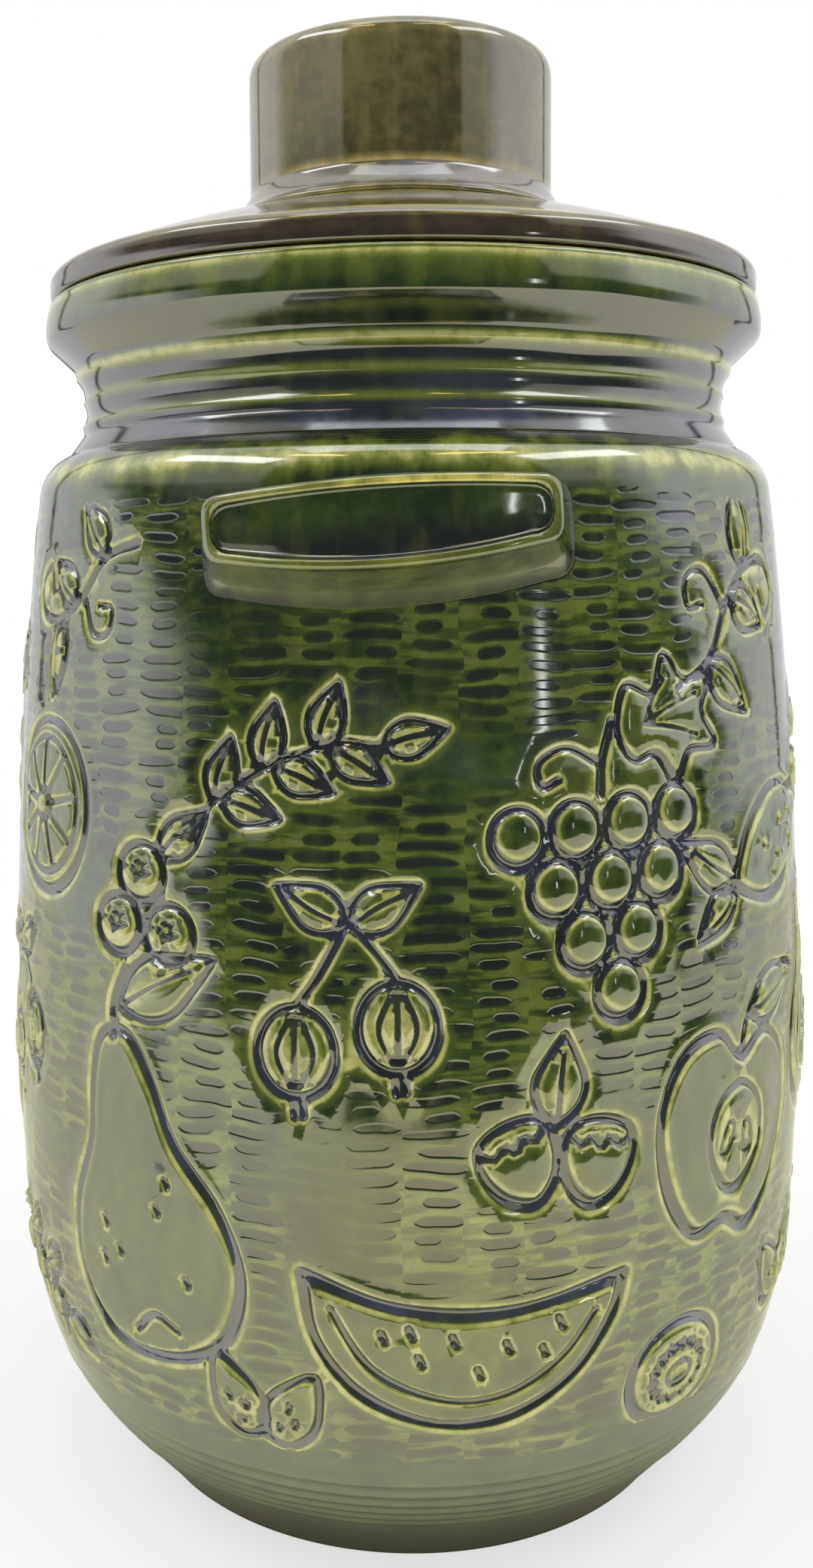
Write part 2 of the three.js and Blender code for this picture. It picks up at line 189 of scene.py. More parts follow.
def freshNodes(owner):  # the emptied tree of a material or a world
    owner.use_nodes = True
    owner.node_tree.nodes.clear()
    return NodeSheet(owner.node_tree)


# glaze that breaks pale over edges, gathers dark in grooves and clouds blue where it is thick; the same
# inputs also carry painted highlights, painted shade and painted reflections where the tags put them
def makeGlazeTone():
    n = newGroup("glazeTone", ("Deep", "Mid", "Thin", "Pale", "Pool", "Milk"),
                 ("Breaking", "Pooling", "Clouding", "Dents"), ("Color",), ("Roughness", "Height"))
    given = n.add("NodeGroupInput").outputs
    place = n.place()
    cloud = n.noise(place, 55.0, 3.0)
    mottle = n.noise(place, 330.0, 4.0, 0.62)
    milky = n.noise(place, 42.0, 2.0)
    blend = n.plus(n.times(cloud, 0.55), n.times(mottle, 0.45))
    ground = n.mix(n.ease(blend, 0.36, 0.64), given["Deep"], given["Mid"])
    dented = n.mix(n.times(given["Dents"], 0.85), ground, given["Pool"])
    pooledWithPaintedShade = n.mix(n.times(given["Pooling"], 0.95), dented, given["Pool"])
    haze = n.times(given["Clouding"], n.ease(milky, 0.38, 0.64, 0.2, 1.0))
    cloudedWithPaintedReflection = n.mix(haze, pooledWithPaintedShade, given["Milk"])
    breakShareWithPaintedHighlight = n.times(given["Breaking"], n.ease(mottle, 0.2, 0.62, 0.6, 1.0))
    thinnedWithPaintedHighlight = n.mix(n.times(breakShareWithPaintedHighlight, 2.0, True), cloudedWithPaintedReflection, given["Thin"])
    bareWithPaintedHighlight = n.minus(n.times(breakShareWithPaintedHighlight, 2.0), 1.0, True)
    final = n.mix(bareWithPaintedHighlight, thinnedWithPaintedHighlight, given["Pale"])
    rough = n.ease(mottle, 0.25, 0.75, 0.07, 0.13)
    lift = n.minus(n.times(cloud, 0.4), given["Dents"])
    n.add("NodeGroupOutput", Color=final, Roughness=rough, Height=lift)
    return n.tree


hatchShape = {"pitch": 0.0034, "column": 0.0115, "radius": 0.094}  # metres


# short level strokes pressed into the wet wall in upright columns, with thin pale lines between them
def makeBrushHatch():
    shape = hatchShape
    n = newGroup("brushHatch", outAmounts=("Dents", "Ridges"))
    place = n.place()
    axes = n.axes(place)
    sway = n.add("ShaderNodeTexNoise", Vector=place, Scale=70.0, Detail=1.0).outputs["Color"]
    drift = n.axes(sway)
    turn = n.calc("ARCTAN2", axes[0], n.times(axes[1], -1.0))
    across = n.plus(n.times(turn, shape["radius"] / shape["column"]), n.times(drift[0], 0.5))
    column = n.calc("FLOOR", across)
    offset = n.add("ShaderNodeTexWhiteNoise", {"noise_dimensions": "1D"}, W=column).outputs["Value"]
    lean = n.plus(offset, n.times(drift[1], 0.9))
    up = n.plus(n.times(axes[2], 1 / shape["pitch"]), lean)
    cell = n.add("ShaderNodeCombineXYZ", i0=column, i1=n.calc("FLOOR", up)).outputs[0]
    own = n.add("ShaderNodeTexWhiteNoise", {"noise_dimensions": "2D"}, Vector=cell).outputs["Color"]
    chance = n.axes(own)
    rise = n.minus(n.calc("FRACT", up), n.ease(chance[0], 0.0, 1.0, 0.42, 0.58))
    aside = n.minus(n.calc("FRACT", across), n.ease(chance[1], 0.0, 1.0, 0.36, 0.64))
    half = n.ease(chance[2], 0.0, 1.0, 0.2, 0.46)
    share = n.calc("DIVIDE", aside, half)
    taper = n.times(n.calc("POWER", n.calc("ABSOLUTE", share), 5.0), 0.12)
    away = n.plus(n.calc("ABSOLUTE", rise), taper)
    patch = n.noise(place, 30.0, 1.0)
    strength = n.ease(patch, 0.34, 0.48, 0.2, 1.0)
    dents = n.times(n.ease(away, 0.32, 0.17), strength)
    drawn = n.add("ShaderNodeCombineXYZ", i0=n.times(across, 0.8), i1=n.times(up, 1.6)).outputs[0]
    brush = n.noise(drawn, 1.0, 2.0)
    between = n.times(n.ease(away, 0.3, 0.42), n.ease(brush, 0.4, 0.58, 0.1, 1.0))
    ridges = n.times(between, strength)
    n.add("NodeGroupOutput", Dents=dents, Ridges=ridges)
    return n.tree


glazeTone = makeGlazeTone()
brushHatch = makeBrushHatch()
glazeIndex = 2.6  # thick lead-like gloss


wallBands = {  # heights in metres over which a change in the wall's glaze, and in the reflections painted on it, comes in
    "lower": (0.125, 0.075), "upperFrom": (0.13, 0.19), "upperTo": (0.236, 0.228),
    "shoulderFrom": (0.224, 0.228), "shoulderTo": (0.236, 0.2345), "rim": (0.2605, 0.2625),
}


def wallGlaze(n, place, thin, pool, cloud):  # grooves, their pale borders, strokes between the motifs, and reflections painted on the wall
    away = n.attribute("lineDist")
    plain = n.attribute("plain")
    height = n.axes(place)[2]
    band = {key: n.ease(height, *ends) for key, ends in wallBands.items()}
    groove = n.ease(away, 1.35, 1.0)
    edge = n.times(n.ease(away, 1.15, 1.5), n.ease(away, 2.95, 1.75))
    border = n.times(edge, n.ease(n.noise(place, 120.0, 2.0), 0.3, 0.62, 0.7, 1.05))
    halo = n.times(n.ease(away, 1.2, 1.6), n.ease(away, 5.0, 1.6, 0.0, 0.3))
    hatch = n.add("ShaderNodeGroup", {"node_tree": brushHatch}).outputs
    dents = n.times(hatch["Dents"], plain)
    # Lower down, the strokes' ridges are paler and the grooves less dark and milkier: a painted reflection of
    # the pale table, which the lower wall faces.
    ridges = n.times(n.times(hatch["Ridges"], plain), n.ease(band["lower"], 0.0, 1.0, 0.38, 0.58))
    thin = n.most(n.most(thin, border), n.most(halo, ridges))
    pool = n.most(pool, n.times(groove, n.ease(band["lower"], 0.0, 1.0, 1.0, 0.58)))
    # Bluish patches over the upper wall and shoulder: a painted reflection of the sky.
    drift = n.ease(n.noise(place, 24.0, 2.0), 0.54, 0.66, 0.0, 0.42)
    paintedSkyReflection = n.times(drift, n.times(band["upperFrom"], band["upperTo"]))
    milky = n.times(groove, n.ease(band["lower"], 0.0, 1.0, 0.3, 0.65))
    cloud = n.most(n.most(cloud, paintedSkyReflection), milky)
    # Streaks run stronger over the shoulder, which breaks its painted highlight into patches, and a little
    # stronger over the rim.
    onShoulder = n.times(band["shoulderFrom"], band["shoulderTo"])
    runs = n.plus(n.plus(n.times(band["rim"], 0.2), onShoulder), 0.3)
    return thin, pool, cloud, dents, runs


def glazeMaterial(name, tones, relief, streaks):
    material = bpy.data.materials.new(name)
    n = freshNodes(material)
    place = n.place()
    thin, pool, cloud = [n.attribute(key) for key in ("thin", "pool", "cloud")]
    dents, runs = 0.0, 1.0
    if relief:
        thin, pool, cloud, dents, runs = wallGlaze(n, place, thin, pool, cloud)
    else:
        thin = n.times(thin, n.ease(n.noise(place, 48.0, 2.0), 0.4, 0.6, 0.6, 1.1))
    drawn = n.add("ShaderNodeMapping", Vector=place, Scale=(165.0, 165.0, 34.0)).outputs[0]
    shift = n.ease(n.noise(drawn, 1.0, 3.0), 0.3, 0.75, -streaks, streaks)
    thin = n.plus(thin, n.times(shift, runs), True)
    sockets = {key: toneOf(*value) for key, value in tones.items()}
    tone = n.add("ShaderNodeGroup", {"node_tree": glazeTone}, Breaking=thin, Pooling=pool, Clouding=cloud,
                 Dents=dents, **sockets).outputs
    bump = n.add("ShaderNodeBump", Strength=1.0, Distance=0.00005, Height=tone["Height"])
    shader = n.add("ShaderNodeBsdfPrincipled", Base_Color=tone["Color"], Roughness=tone["Roughness"],
                   IOR=glazeIndex, Normal=bump.outputs[0])
    n.add("ShaderNodeOutputMaterial", Surface=shader.outputs[0])
    return material


greenTones = {"Deep": (30, 46, 14), "Mid": (58, 78, 25), "Thin": (116, 128, 46), "Pale": (206, 204, 124),
              "Pool": (24, 28, 28), "Milk": (92, 96, 126)}
# The handle's pale is golden: partly glaze breaking on the lug's lip, partly a painted highlight along its
# top.
handleTones = {**greenTones, "Thin": (128, 132, 42), "Pale": (240, 220, 110)}
brownTones = {"Deep": (70, 66, 36), "Mid": (108, 102, 60), "Thin": (140, 128, 74), "Pale": (206, 184, 118),
              "Pool": (30, 22, 14), "Milk": (150, 146, 160)}
# The lid's pale is a bright cream, used for the painted reflection on its top near the knob and the painted
# highlight along its edge.
lidTones = {"Deep": (54, 46, 34), "Mid": (80, 68, 50), "Thin": (138, 128, 60), "Pale": (234, 222, 144),
            "Pool": (22, 17, 14), "Milk": (110, 106, 112)}
greenGlaze = glazeMaterial("greenGlaze", greenTones, True, 0.22)
handleGlaze = glazeMaterial("handleGlaze", handleTones, False, 0.1)
lidGlaze = glazeMaterial("lidGlaze", lidTones, False, 0.06)
knobGlaze = glazeMaterial("knobGlaze", brownTones, False, 0.19)


def clayMaterial():
    material = bpy.data.materials.new("bareClay")
    n = freshNodes(material)
    grit = n.noise(n.place(), 900.0, 4.0)
    tint = n.mix(n.ease(grit, 0.35, 0.65), toneOf(176, 156, 128), toneOf(206, 190, 164))
    bump = n.add("ShaderNodeBump", Strength=0.6, Distance=0.0003, Height=grit)
    shader = n.add("ShaderNodeBsdfPrincipled", Base_Color=tint, Roughness=0.85, Normal=bump.outputs[0])
    n.add("ShaderNodeOutputMaterial", Surface=shader.outputs[0])
    return material


bareClay = clayMaterial()
print("glazes ready")

potShape = {
    "foot": (65.5, 1), "footRing": 9, "footRecess": 3, "footSlope": 3, "footRound": 1,
    "baseLeave": (89.1, 30), "baseArrive": (94.4, 30), "belly": (94.4, 100),
    "sideLeave": (94.4, 140), "sideArrive": (91.3, 181), "shoulder": (86.3, 226),
    "shoulderCorner": (85.6, 232.6), "shoulderTop": (79.5, 235.4), "shoulderFoot": (79.1, 235.7),
    "neckRadius": 75.6, "neckWaist": 246, "neckFlare": 0.03, "neckFoot": (78.7, 236.3),
    "neckCone": (76.1, 239.9), "neckTurn": (75.6, 240.6),
    "firstCrest": 242.4, "crestPitch": 5.55, "crestTones": (0.45, 0.5, 0.95), "hollowDepth": 0.55,
    "throatTurn": (77.45, 255.5), "throat": (78.2, 256.2), "rimUnder": (83.2, 260.9),
    "rimLeave": (84.3, 261.9), "rimArrive": (84.0, 265.8), "rimSide": (83.1, 268.6), "rimTop": (81.5, 270),
    "mouth": 69.2, "mouthRound": 2, "neckInside": 241, "shoulderInCorner": (77.6, 232.5),
    "shoulderIn": (79.6, 222), "sideIn": (84.6, 177), "wall": 6.5, "floor": (58, 9), "floorSpread": 14,
    "turns": 240, "baseSteps": 70, "footPaintedShadeBand": (16, 8),  # the foot's dark band, partly darker glaze and partly painted shade from its reflected contact shadow: its top and its depth
    "reliefFrom": 36, "reliefTo": 224,  # heights between which the wall carries relief
    "baseRings": (15.6, 17.9, 20.4, 23.1, 26.2, 29.6), "ringHeight": 0.28, "ringWidth": 0.7,
}


def wallCurve():
    p = potShape
    curve = cubicPath(p["foot"], p["baseLeave"], p["baseArrive"], p["belly"], 240)
    curve += cubicPath(p["belly"], p["sideLeave"], p["sideArrive"], p["shoulder"], 240)[1:]
    curve += quadPath(p["shoulder"], p["shoulderCorner"], p["shoulderTop"], 40)[1:]
    return np.array(curve)


wallLine = wallCurve()
wallRun = runAlong(wallLine)
wallSlope = np.gradient(wallLine, wallRun, axis=0)


def runAt(height):
    return np.interp(height, wallLine[:, 1], wallRun)


def wallPoint(run, lift):  # radius and height on the wall, lifted off it along its normal
    r, z = [np.interp(run, wallRun, wallLine[:, k]) for k in (0, 1)]
    slopeR, slopeZ = [np.interp(run, wallRun, wallSlope[:, k]) for k in (0, 1)]
    return r + lift * slopeZ, z - lift * slopeR


def evenSteps(points, step, closed=False):
    p = np.vstack([points, points[:1]]) if closed else np.asarray(points)
    run = runAlong(p)
    count = max(int(round(run[-1] / step)), 2)
    spots = np.linspace(0, run[-1], count + 1)
    return pointsAt(p, run, spots[:-1] if closed else spots)


fineStep = 0.3


def softCurve(points, closed=False):  # smooth curve through a few points
    p = np.array(points, float)
    q = np.vstack([p[-1], p, p[:2]] if closed else [2 * p[0] - p[1], p, 2 * p[-1] - p[-2]])
    t = np.linspace(0, 1, 14, endpoint=False)[:, None]
    parts = []
    for a, b, c, d in zip(q, q[1:], q[2:], q[3:]):
        parts.append(0.5 * (2 * b + (c - a) * t + (2 * a - 5 * b + 4 * c - d) * t ** 2
                            + (3 * b - a - 3 * c + d) * t ** 3))
    if not closed:
        parts.append(p[-1:])
    return evenSteps(np.vstack(parts), fineStep, closed)


def oval(x, y, rx, ry, turn=0.0):
    t = np.linspace(0, 2 * math.pi, 90, endpoint=False)
    flat = np.column_stack([rx * np.cos(t), ry * np.sin(t)])
    return evenSteps(moved(flat, x, y, turn), fineStep, True)


def moved(curve, x, y, turn=0.0, size=1.0):
    c, s = aim(turn)
    return curve * size @ np.array([[c, s], [-s, c]]) + (x, y)


def bothSides(half):  # a half outline, then its mirror image back to the start
    return half + [(-x, y) for x, y in reversed(half) if x]


def mirrorCurve(half):
    return softCurve(bothSides(half), True)


def stroke(points, weight):
    return softCurve(points), False, weight


# every motif gives incised lines as (curve, closed, weight) and the outlines that swell
def leaf(x, y, length, width, turn, rib=True):
    half = width / 2
    side = np.array([(0, 0), (length * 0.22, half * 0.8), (length * 0.48, half), (length * 0.78, half * 0.5),
                     (length, 0)])
    left = softCurve(side)
    right = softCurve(side * (1, -1))
    lines = [(moved(left, x, y, turn), False, 0.66), (moved(right, x, y, turn), False, 0.66)]
    if rib:
        vein = softCurve([(length * 0.1, 0), (length * 0.45, 0.4), (length * 0.8, 0)])
        lines.append((moved(vein, x, y, turn), False, 0.42))
    return lines, [moved(np.vstack([left, right[::-1]]), x, y, turn)]


def withLeaves(lines, bodies, *leaves):
    for place in leaves:
        leafLines, leafBody = leaf(*place)
        lines += leafLines
        bodies += leafBody
    return lines, bodies


def dots(places, length=1.3, turn=-70.0):
    c, s = aim(turn)
    return [(evenSteps([(x, y), (x + length * c, y + length * s)], fineStep), False, 0.62) for x, y in places]


def pear():
    skin = mirrorCurve([(-3.5, 30), (-8, 21), (-11, 10), (-18, -2), (-20, -15), (-13.5, -26.5), (0, -30)])
    lines = [(skin, True, 1.0), stroke([(0, 30), (1.2, 36), (5, 42)], 0.9)]
    lines.append(stroke([(-5, -24.5), (0, -21.5), (5, -24.5)], 0.7))
    lines += dots([(-9, -4), (-6, -9), (-11, -11), (8, 4), (5, -1), (9, -14)], 1.6)
    return withLeaves(lines, [skin], (2, 35, 25, 11, 18))


def grapes():
    lines, bodies = [], []
    for row, count in enumerate((4, 3, 2, 1)):
        for k in range(count):
            berry = oval((k - (count - 1) / 2) * 11.6 + (0.8 if row % 2 else 0), 10 - row * 10.2, 5.2, 5.3)
            lines.append((berry, True, 0.85))
            bodies.append(berry)
    lines.append(stroke([(0, 16), (1, 22), (4, 29)], 0.9))
    lines.append(stroke([(1, 21), (-6, 25), (-12, 23), (-12, 18.5), (-8.5, 19.5)], 0.65))
    vine = softCurve([(5, 27), (8, 35), (14.5, 33), (18, 40), (23, 34.5), (31, 34.5), (27.5, 28), (31, 21),
                      (23, 21), (18.5, 16), (14, 21.5), (8.5, 21)], True)
    lines.append((vine, True, 0.7))
    stalk = (11, 27.5)
    for tip in ((17.6, 35), (26, 31.5), (25.6, 23.6)):
        middle = ((stalk[0] + tip[0]) / 2, (stalk[1] + tip[1]) / 2 + 0.4)
        lines.append(stroke([stalk, middle, tip], 0.36))
    return lines, bodies + [vine]


def appleHalf():
    skin = mirrorCurve([(0, 13.5), (8, 18), (17, 14), (20.5, 3), (16.5, -10), (8.5, -18), (0, -16)])
    core = mirrorCurve([(0, 9), (6.5, 5.5), (8, -2), (4, -8.5), (0, -10.5)])
    lines = [(skin, True, 1.0), (core, True, 0.75)]
    for side in (-1, 1):
        seed = oval(side * 3.1, -1, 1.5, 3.3, side * 14)
        lines.append((seed, True, 0.5))
    lines.append(stroke([(0, 13.5), (0.8, 20), (4, 26)], 0.9))
    return withLeaves(lines, [skin], (2, 21, 22, 9.5, 24))


def orangeSlice():
    peel = oval(0, 0, 20, 20)
    inner = oval(0, 0, 16, 16)
    lines = [(peel, True, 1.0), (inner, True, 0.6)]
    for k in range(9):
        a = 2 * math.pi * k / 9 + 0.2
        ray = [(3 * math.cos(a), 3 * math.sin(a)), (14.6 * math.cos(a), 14.6 * math.sin(a))]
        lines.append((evenSteps(ray, fineStep), False, 0.6))
    return lines, [peel]


def melonSlice():
    rind = softCurve([(-30, 9), (-27, -3), (-18, -13), (-4, -18), (10, -16.5), (22, -9), (29, 2), (31, 10)])
    top = softCurve([(-30, 9), (-12, 4.5), (8, 4.5), (31, 10)])
    inner = softCurve([(-24.5, 3.5), (-16, -7.5), (-3, -12.5), (9, -11.5), (19, -5), (25.5, 4)])
    lines = [(rind, False, 1.0), (top, False, 1.0), (inner, False, 0.65)]
    lines += dots([(-15, 0), (-8, -4), (-2, 0), (3, -6), (8, -1), (15, -2), (-10, 1), (18, 3)], 1.9, -60)
    return lines, [np.vstack([rind, top[::-1]])]


def lemon():
    skin = softCurve([(-20, 0), (-15.5, 5.5), (-8, 10), (2, 11.2), (11, 8.2), (16, 3.8), (20.5, 2), (21.5, 0),
                      (20.5, -2), (16, -3.8), (11, -8.2), (2, -11.2), (-8, -10), (-15.5, -5.5)], True)
    lines = [(skin, True, 1.0)]
    lines += dots([(-8, 3), (-3, -2), (2, 4), (6, -3), (-6, -5), (9, 2)], 0.9)
    return withLeaves(lines, [skin], (-20, 0, 22, 10, 128), (-20, 0, 18, 8, 196))


def figHalf():
    skin = mirrorCurve([(0, 23), (4.2, 15), (12, 5), (15.5, -7), (10.5, -17), (0, -20.5)])
    flesh = mirrorCurve([(0, 9), (6.5, 2.5), (9.5, -6.5), (6, -13), (0, -15)])
    lines = [(skin, True, 1.0), (flesh, True, 0.65)]
    lines += dots([(-3, -1), (3, -1), (0, -5), (-5, -7), (5, -7), (-2, -10), (3, -10.5)], 1.2)
    lines.append(stroke([(0, 23), (-0.6, 27), (2, 30)], 0.9))
    return lines, [skin]


def gooseberries():
    lines, bodies = [], []
    for x, y in ((-9, -3), (9.5, 2)):
        berry = oval(x, y, 7.2, 8.2)
        lines.append((berry, True, 0.9))
        bodies.append(berry)
        for bow in (-3.4, 0, 3.4):
            vein = [(x + bow * 0.3, y + 6.4), (x + bow, y), (x + bow * 0.3, y - 6.2)]
            lines.append(stroke(vein, 0.45))
        lines.append(stroke([(x, y + 8.5), (x * 0.55, y + 14), (0.5, 21)], 0.7))
        lines += dots([(x - 0.5, y - 9.8), (x + 1.2, y - 9.6)], 2.2, -84)
    return withLeaves(lines, bodies, (0.5, 20, 15, 8, 152), (0.5, 20, 15, 8, 30))


def pineapple():
    body = oval(0, -8, 14.5, 20)
    lines, bodies = [(body, True, 1.0)], [body]
    for lean in (-1, 1):
        for k in range(-3, 4):
            run = []
            for t in np.linspace(-30, 30, 61):
                x, y = k * 6.6 + lean * t * 0.55, -8 + t
                if (x / 12.6) ** 2 + ((y + 8) / 18) ** 2 < 1:
                    run.append((x, y))
            if len(run) > 4:
                lines.append((evenSteps(run, fineStep), False, 0.5))
    crown = ((90, 24), (64, 21), (116, 21), (40, 17), (140, 17))
    return withLeaves(lines, bodies, *[(0, 11, length, 8, turn, turn == 90) for turn, length in crown])


def leafSprig():
    stem = softCurve([(-26, -7), (-12, -1.5), (4, 0.5), (18, -1), (27, -5)])
    shoots = ((-15, -2.5, 52), (-13, -2, -38), (-1, 0.3, 56), (2, 0.4, -44), (13, 0, 48), (16, -0.5, -52),
              (27, -5, -8))
    return withLeaves([(stem, False, 0.7)], [], *[(x, y, 15.5, 8, turn) for x, y, turn in shoots])


def kiwiSlice():
    skin = oval(0, 0, 13, 11.5)
    core = oval(0, 0, 3.6, 2.6)
    lines = [(skin, True, 0.95), (core, True, 0.55)]
    for k in range(14):
        a = 2 * math.pi * k / 14
        lines += dots([(6.4 * math.cos(a), 5.5 * math.sin(a))], 1.7, math.degrees(a))
    return lines, [skin]


def almonds():
    lines, bodies = [], []
    for x, y, turn in ((-6.5, 0, 24), (6.8, -1.5, -30)):
        shell = moved(mirrorCurve([(0, 11), (4.6, 4.5), (6.2, -2), (4, -7.8), (0, -9.4)]), x, y, turn)
        pits = dots([(-1.6, 2), (1.4, -1), (-1.2, -4)], 1.5)
        lines.append((shell, True, 0.8))
        lines += [(moved(curve, x, y, turn), closed, weight) for curve, closed, weight in pits]
        bodies.append(shell)
    return lines, bodies


def hazelnuts():
    lines, bodies = [], []
    for x, y, turn in ((-8.5, 1, 16), (8.5, -2, -14)):
        shell = moved(mirrorCurve([(0, -10), (5.5, -6.5), (8, 0), (6.8, 5.6), (0, 7.6)]), x, y, turn)
        cap = moved(softCurve(bothSides([(-7, 4.4), (-4.4, 2.2), (-2.2, 4), (0, 1.6)])), x, y, turn)
        lines += [(shell, True, 0.9), (cap, False, 0.6)]
        bodies.append(shell)
    return withLeaves(lines, bodies, (0, 6, 19, 11, 78))


def blueberries():
    lines, bodies = [], []
    for x, y in ((-7.5, -4), (6.5, -6.5), (0.5, 6.5)):
        berry = oval(x, y, 6.3, 6.1)
        crown = [(x + r * math.cos(a), y + 1 + r * math.sin(a))
                 for a, r in ((math.pi * k / 5, 2.6 if k % 2 else 1.1) for k in range(10))]
        lines += [(berry, True, 0.9), (evenSteps(np.array(crown), fineStep, True), True, 0.45)]
        bodies.append(berry)
    return withLeaves(lines, bodies, (5.5, 9.5, 16, 8, 32))


def vineCurl():
    stem = softCurve([(-18, -24), (-8, -14), (-4, 0), (4, 12), (16, 18), (24, 12), (20, 5), (14, 9)])
    tendril = softCurve([(-4, 0), (-14, 6), (-20, 2), (-18, -4), (-13, -2)])
    shoots = ((-8, -14, 20, -22), (4, 12, 22, 112), (-2, 4, 19, -8))
    lines = [(stem, False, 0.85), (tendril, False, 0.65)]
    return withLeaves(lines, [], *[(x, y, length, 10.5, turn) for x, y, length, turn in shoots])


# where each motif sits: distance round from the front, height, turn in degrees, size
motifLayout = [
    (pear, -60, 84, 10, 1.1), (orangeSlice, -94, 160, 0, 0.9), (leafSprig, -30, 172, 22, 0.85),
    (blueberries, -58, 144, 8, 0.95), (gooseberries, -14, 122, 0, 1.05), (almonds, -32, 47, 0, 0.9),
    (melonSlice, 8, 64, -4, 1.05), (grapes, 38, 150, 4, 1.04), (hazelnuts, 27, 98, 6, 0.95),
    (appleHalf, 72, 94, -10, 1.12), (kiwiSlice, 57, 47, 10, 0.95), (lemon, 92, 152, 22, 0.95),
    (vineCurl, 78, 200, -18, 0.86), (vineCurl, -84, 206, 150, 0.76), (figHalf, 118, 108, 12, 1.05),
    (gooseberries, -110, 106, 8, 0.95), (almonds, 100, 56, 10, 0.9), (leafSprig, -112, 58, -16, 0.85),
    (pineapple, 154, 126, 6, 1.2), (leafSprig, 148, 68, -10, 0.85), (blueberries, 124, 168, 0, 1.0),
    (pear, 204, 86, -14, 1.06), (orangeSlice, 202, 162, 0, 0.95), (vineCurl, 164, 200, 10, 0.74),
    (grapes, 248, 160, -6, 1.04), (hazelnuts, 240, 108, 0, 1.0), (melonSlice, 256, 66, 6, 1.0),
    (appleHalf, -150, 92, 10, 1.12), (grapes, -148, 160, 6, 1.0), (kiwiSlice, -148, 48, 0, 0.9),
    (pineapple, -198, 118, -5, 1.16), (leafSprig, -200, 192, 8, 0.85), (figHalf, -240, 164, -8, 1.05),
    (lemon, -248, 112, -18, 1.05), (melonSlice, -224, 58, 4, 0.84), (almonds, -272, 150, 0, 0.95),
    (vineCurl, -148, 206, 20, 0.7),
]

reliefShape = {
    "round": 94.0, "grooveDepth": 1.15, "grooveWidth": 1.05, "ridgeHeight": 0.42, "ridgeAway": 1.95,
    "ridgeWidth": 0.8, "swell": 1.25, "swellReach": 4.5, "plainFrom": 1.8, "fade": 4.0, "farAway": 9.0,
    "along": 1.25, "rows": (0.0, 0.85, 1.3, 1.95, 2.9), "rowGap": 0.14, "railGap": 0.36, "endGap": 0.3,
    "endTurns": (-60, -30, 0, 30, 60), "ground": 2.7, "seamSteps": 80,
    "handWaves": ((0.1, 3, 70, 1.3), (0.06, 5, -45, 0.4), (0.05, 9, 30, 0.0)),  # height, count, length, start
}
halfRound = math.pi * reliefShape["round"]


def layMotifs():
    lines, bodies = [], []
    for motif, x, height, turn, size in motifLayout:
        run = runAt(height)
        motifLines, motifBodies = motif()
        lines += [(moved(c, x, run, turn, size), closed, weight) for c, closed, weight in motifLines]
        bodies += [moved(c, x, run, turn, size) for c in motifBodies]
    return lines, bodies


def thinOut(points, gaps):  # keeps a point only where no earlier one is nearer than its own gap
    cell = 1.0
    grid, kept = {}, []
    for (x, y), gap in zip(points, gaps):
        cx, cy = int(x // cell), int(y // cell)
        reach = int(gap // cell) + 1
        near = False
        for i in range(cx - reach, cx + reach + 1):
            for j in range(cy - reach, cy + reach + 1):
                for px, py in grid.get((i, j), ()):
                    if (px - x) ** 2 + (py - y) ** 2 < gap * gap:
                        near = True
        if not near:
            grid.setdefault((cx, cy), []).append((x, y))
            kept.append((x, y))
    return kept


def reliefPoints(lines, low, high):
    shape = reliefShape
    turns, steps = potShape["turns"], shape["seamSteps"]
    columns = [-halfRound + 2 * halfRound * k / turns for k in range(turns + 1)]
    seam = [low + (high - low) * k / steps for k in range(steps + 1)]
    points = [(x, low) for x in columns] + [(x, high) for x in columns]
    points += [(side, y) for side in (-halfRound, halfRound) for y in seam[1:-1]]
    gaps = [0.01] * len(points)
    for row, away in enumerate(shape["rows"]):
        for curve, closed, weight in lines:
            rail = evenSteps(curve, shape["along"] * (0.7 + 0.3 * weight), closed)
            ahead = np.roll(rail, -1, axis=0) - np.roll(rail, 1, axis=0)
            if not closed:
                ahead[0], ahead[-1] = rail[1] - rail[0], rail[-1] - rail[-2]
            ahead /= np.maximum(np.hypot(ahead[:, 0], ahead[:, 1]), 1e-6)[:, None]
            side = np.column_stack([-ahead[:, 1], ahead[:, 0]])
            for sign in ((0,) if row == 0 else (-1, 1)):
                spots = rail + side * sign * away * weight
                points += [tuple(p) for p in spots]
                gaps += [shape["railGap"] + shape["rowGap"] * row] * len(spots)
            if row and not closed:
                for end, way in ((rail[0], -ahead[0]), (rail[-1], ahead[-1])):
                    for angle in shape["endTurns"]:
                        c, s = aim(angle)
                        turned = np.array([way[0] * c - way[1] * s, way[0] * s + way[1] * c])
                        points.append(tuple(end + away * weight * turned))
                        gaps.append(shape["endGap"] + shape["rowGap"] * row)
    step = shape["ground"]
    rows = int((high - low) / (step * 0.87))
    for j in range(1, rows):
        y = low + (high - low) * j / rows
        for k in range(int(2 * halfRound / step)):
            points.append((-halfRound + (k + 0.5 * (j % 2) + 0.25) * step, y))
            gaps.append(step * 0.72)
    inside = [k for k, (x, y) in enumerate(points) if abs(x) <= halfRound and low <= y <= high]
    return thinOut([points[k] for k in inside], [gaps[k] for k in inside])


def insideOf(points, outline):  # even-odd rule
    found = np.zeros(len(points), bool)
    nextOne = np.roll(outline, -1, axis=0)
    for (x1, y1), (x2, y2) in zip(outline, nextOne):
        if y1 != y2:
            crosses = (points[:, 1] < y1) != (points[:, 1] < y2)
            found ^= crosses & (points[:, 0] < (x2 - x1) * (points[:, 1] - y1) / (y2 - y1) + x1)
    return found


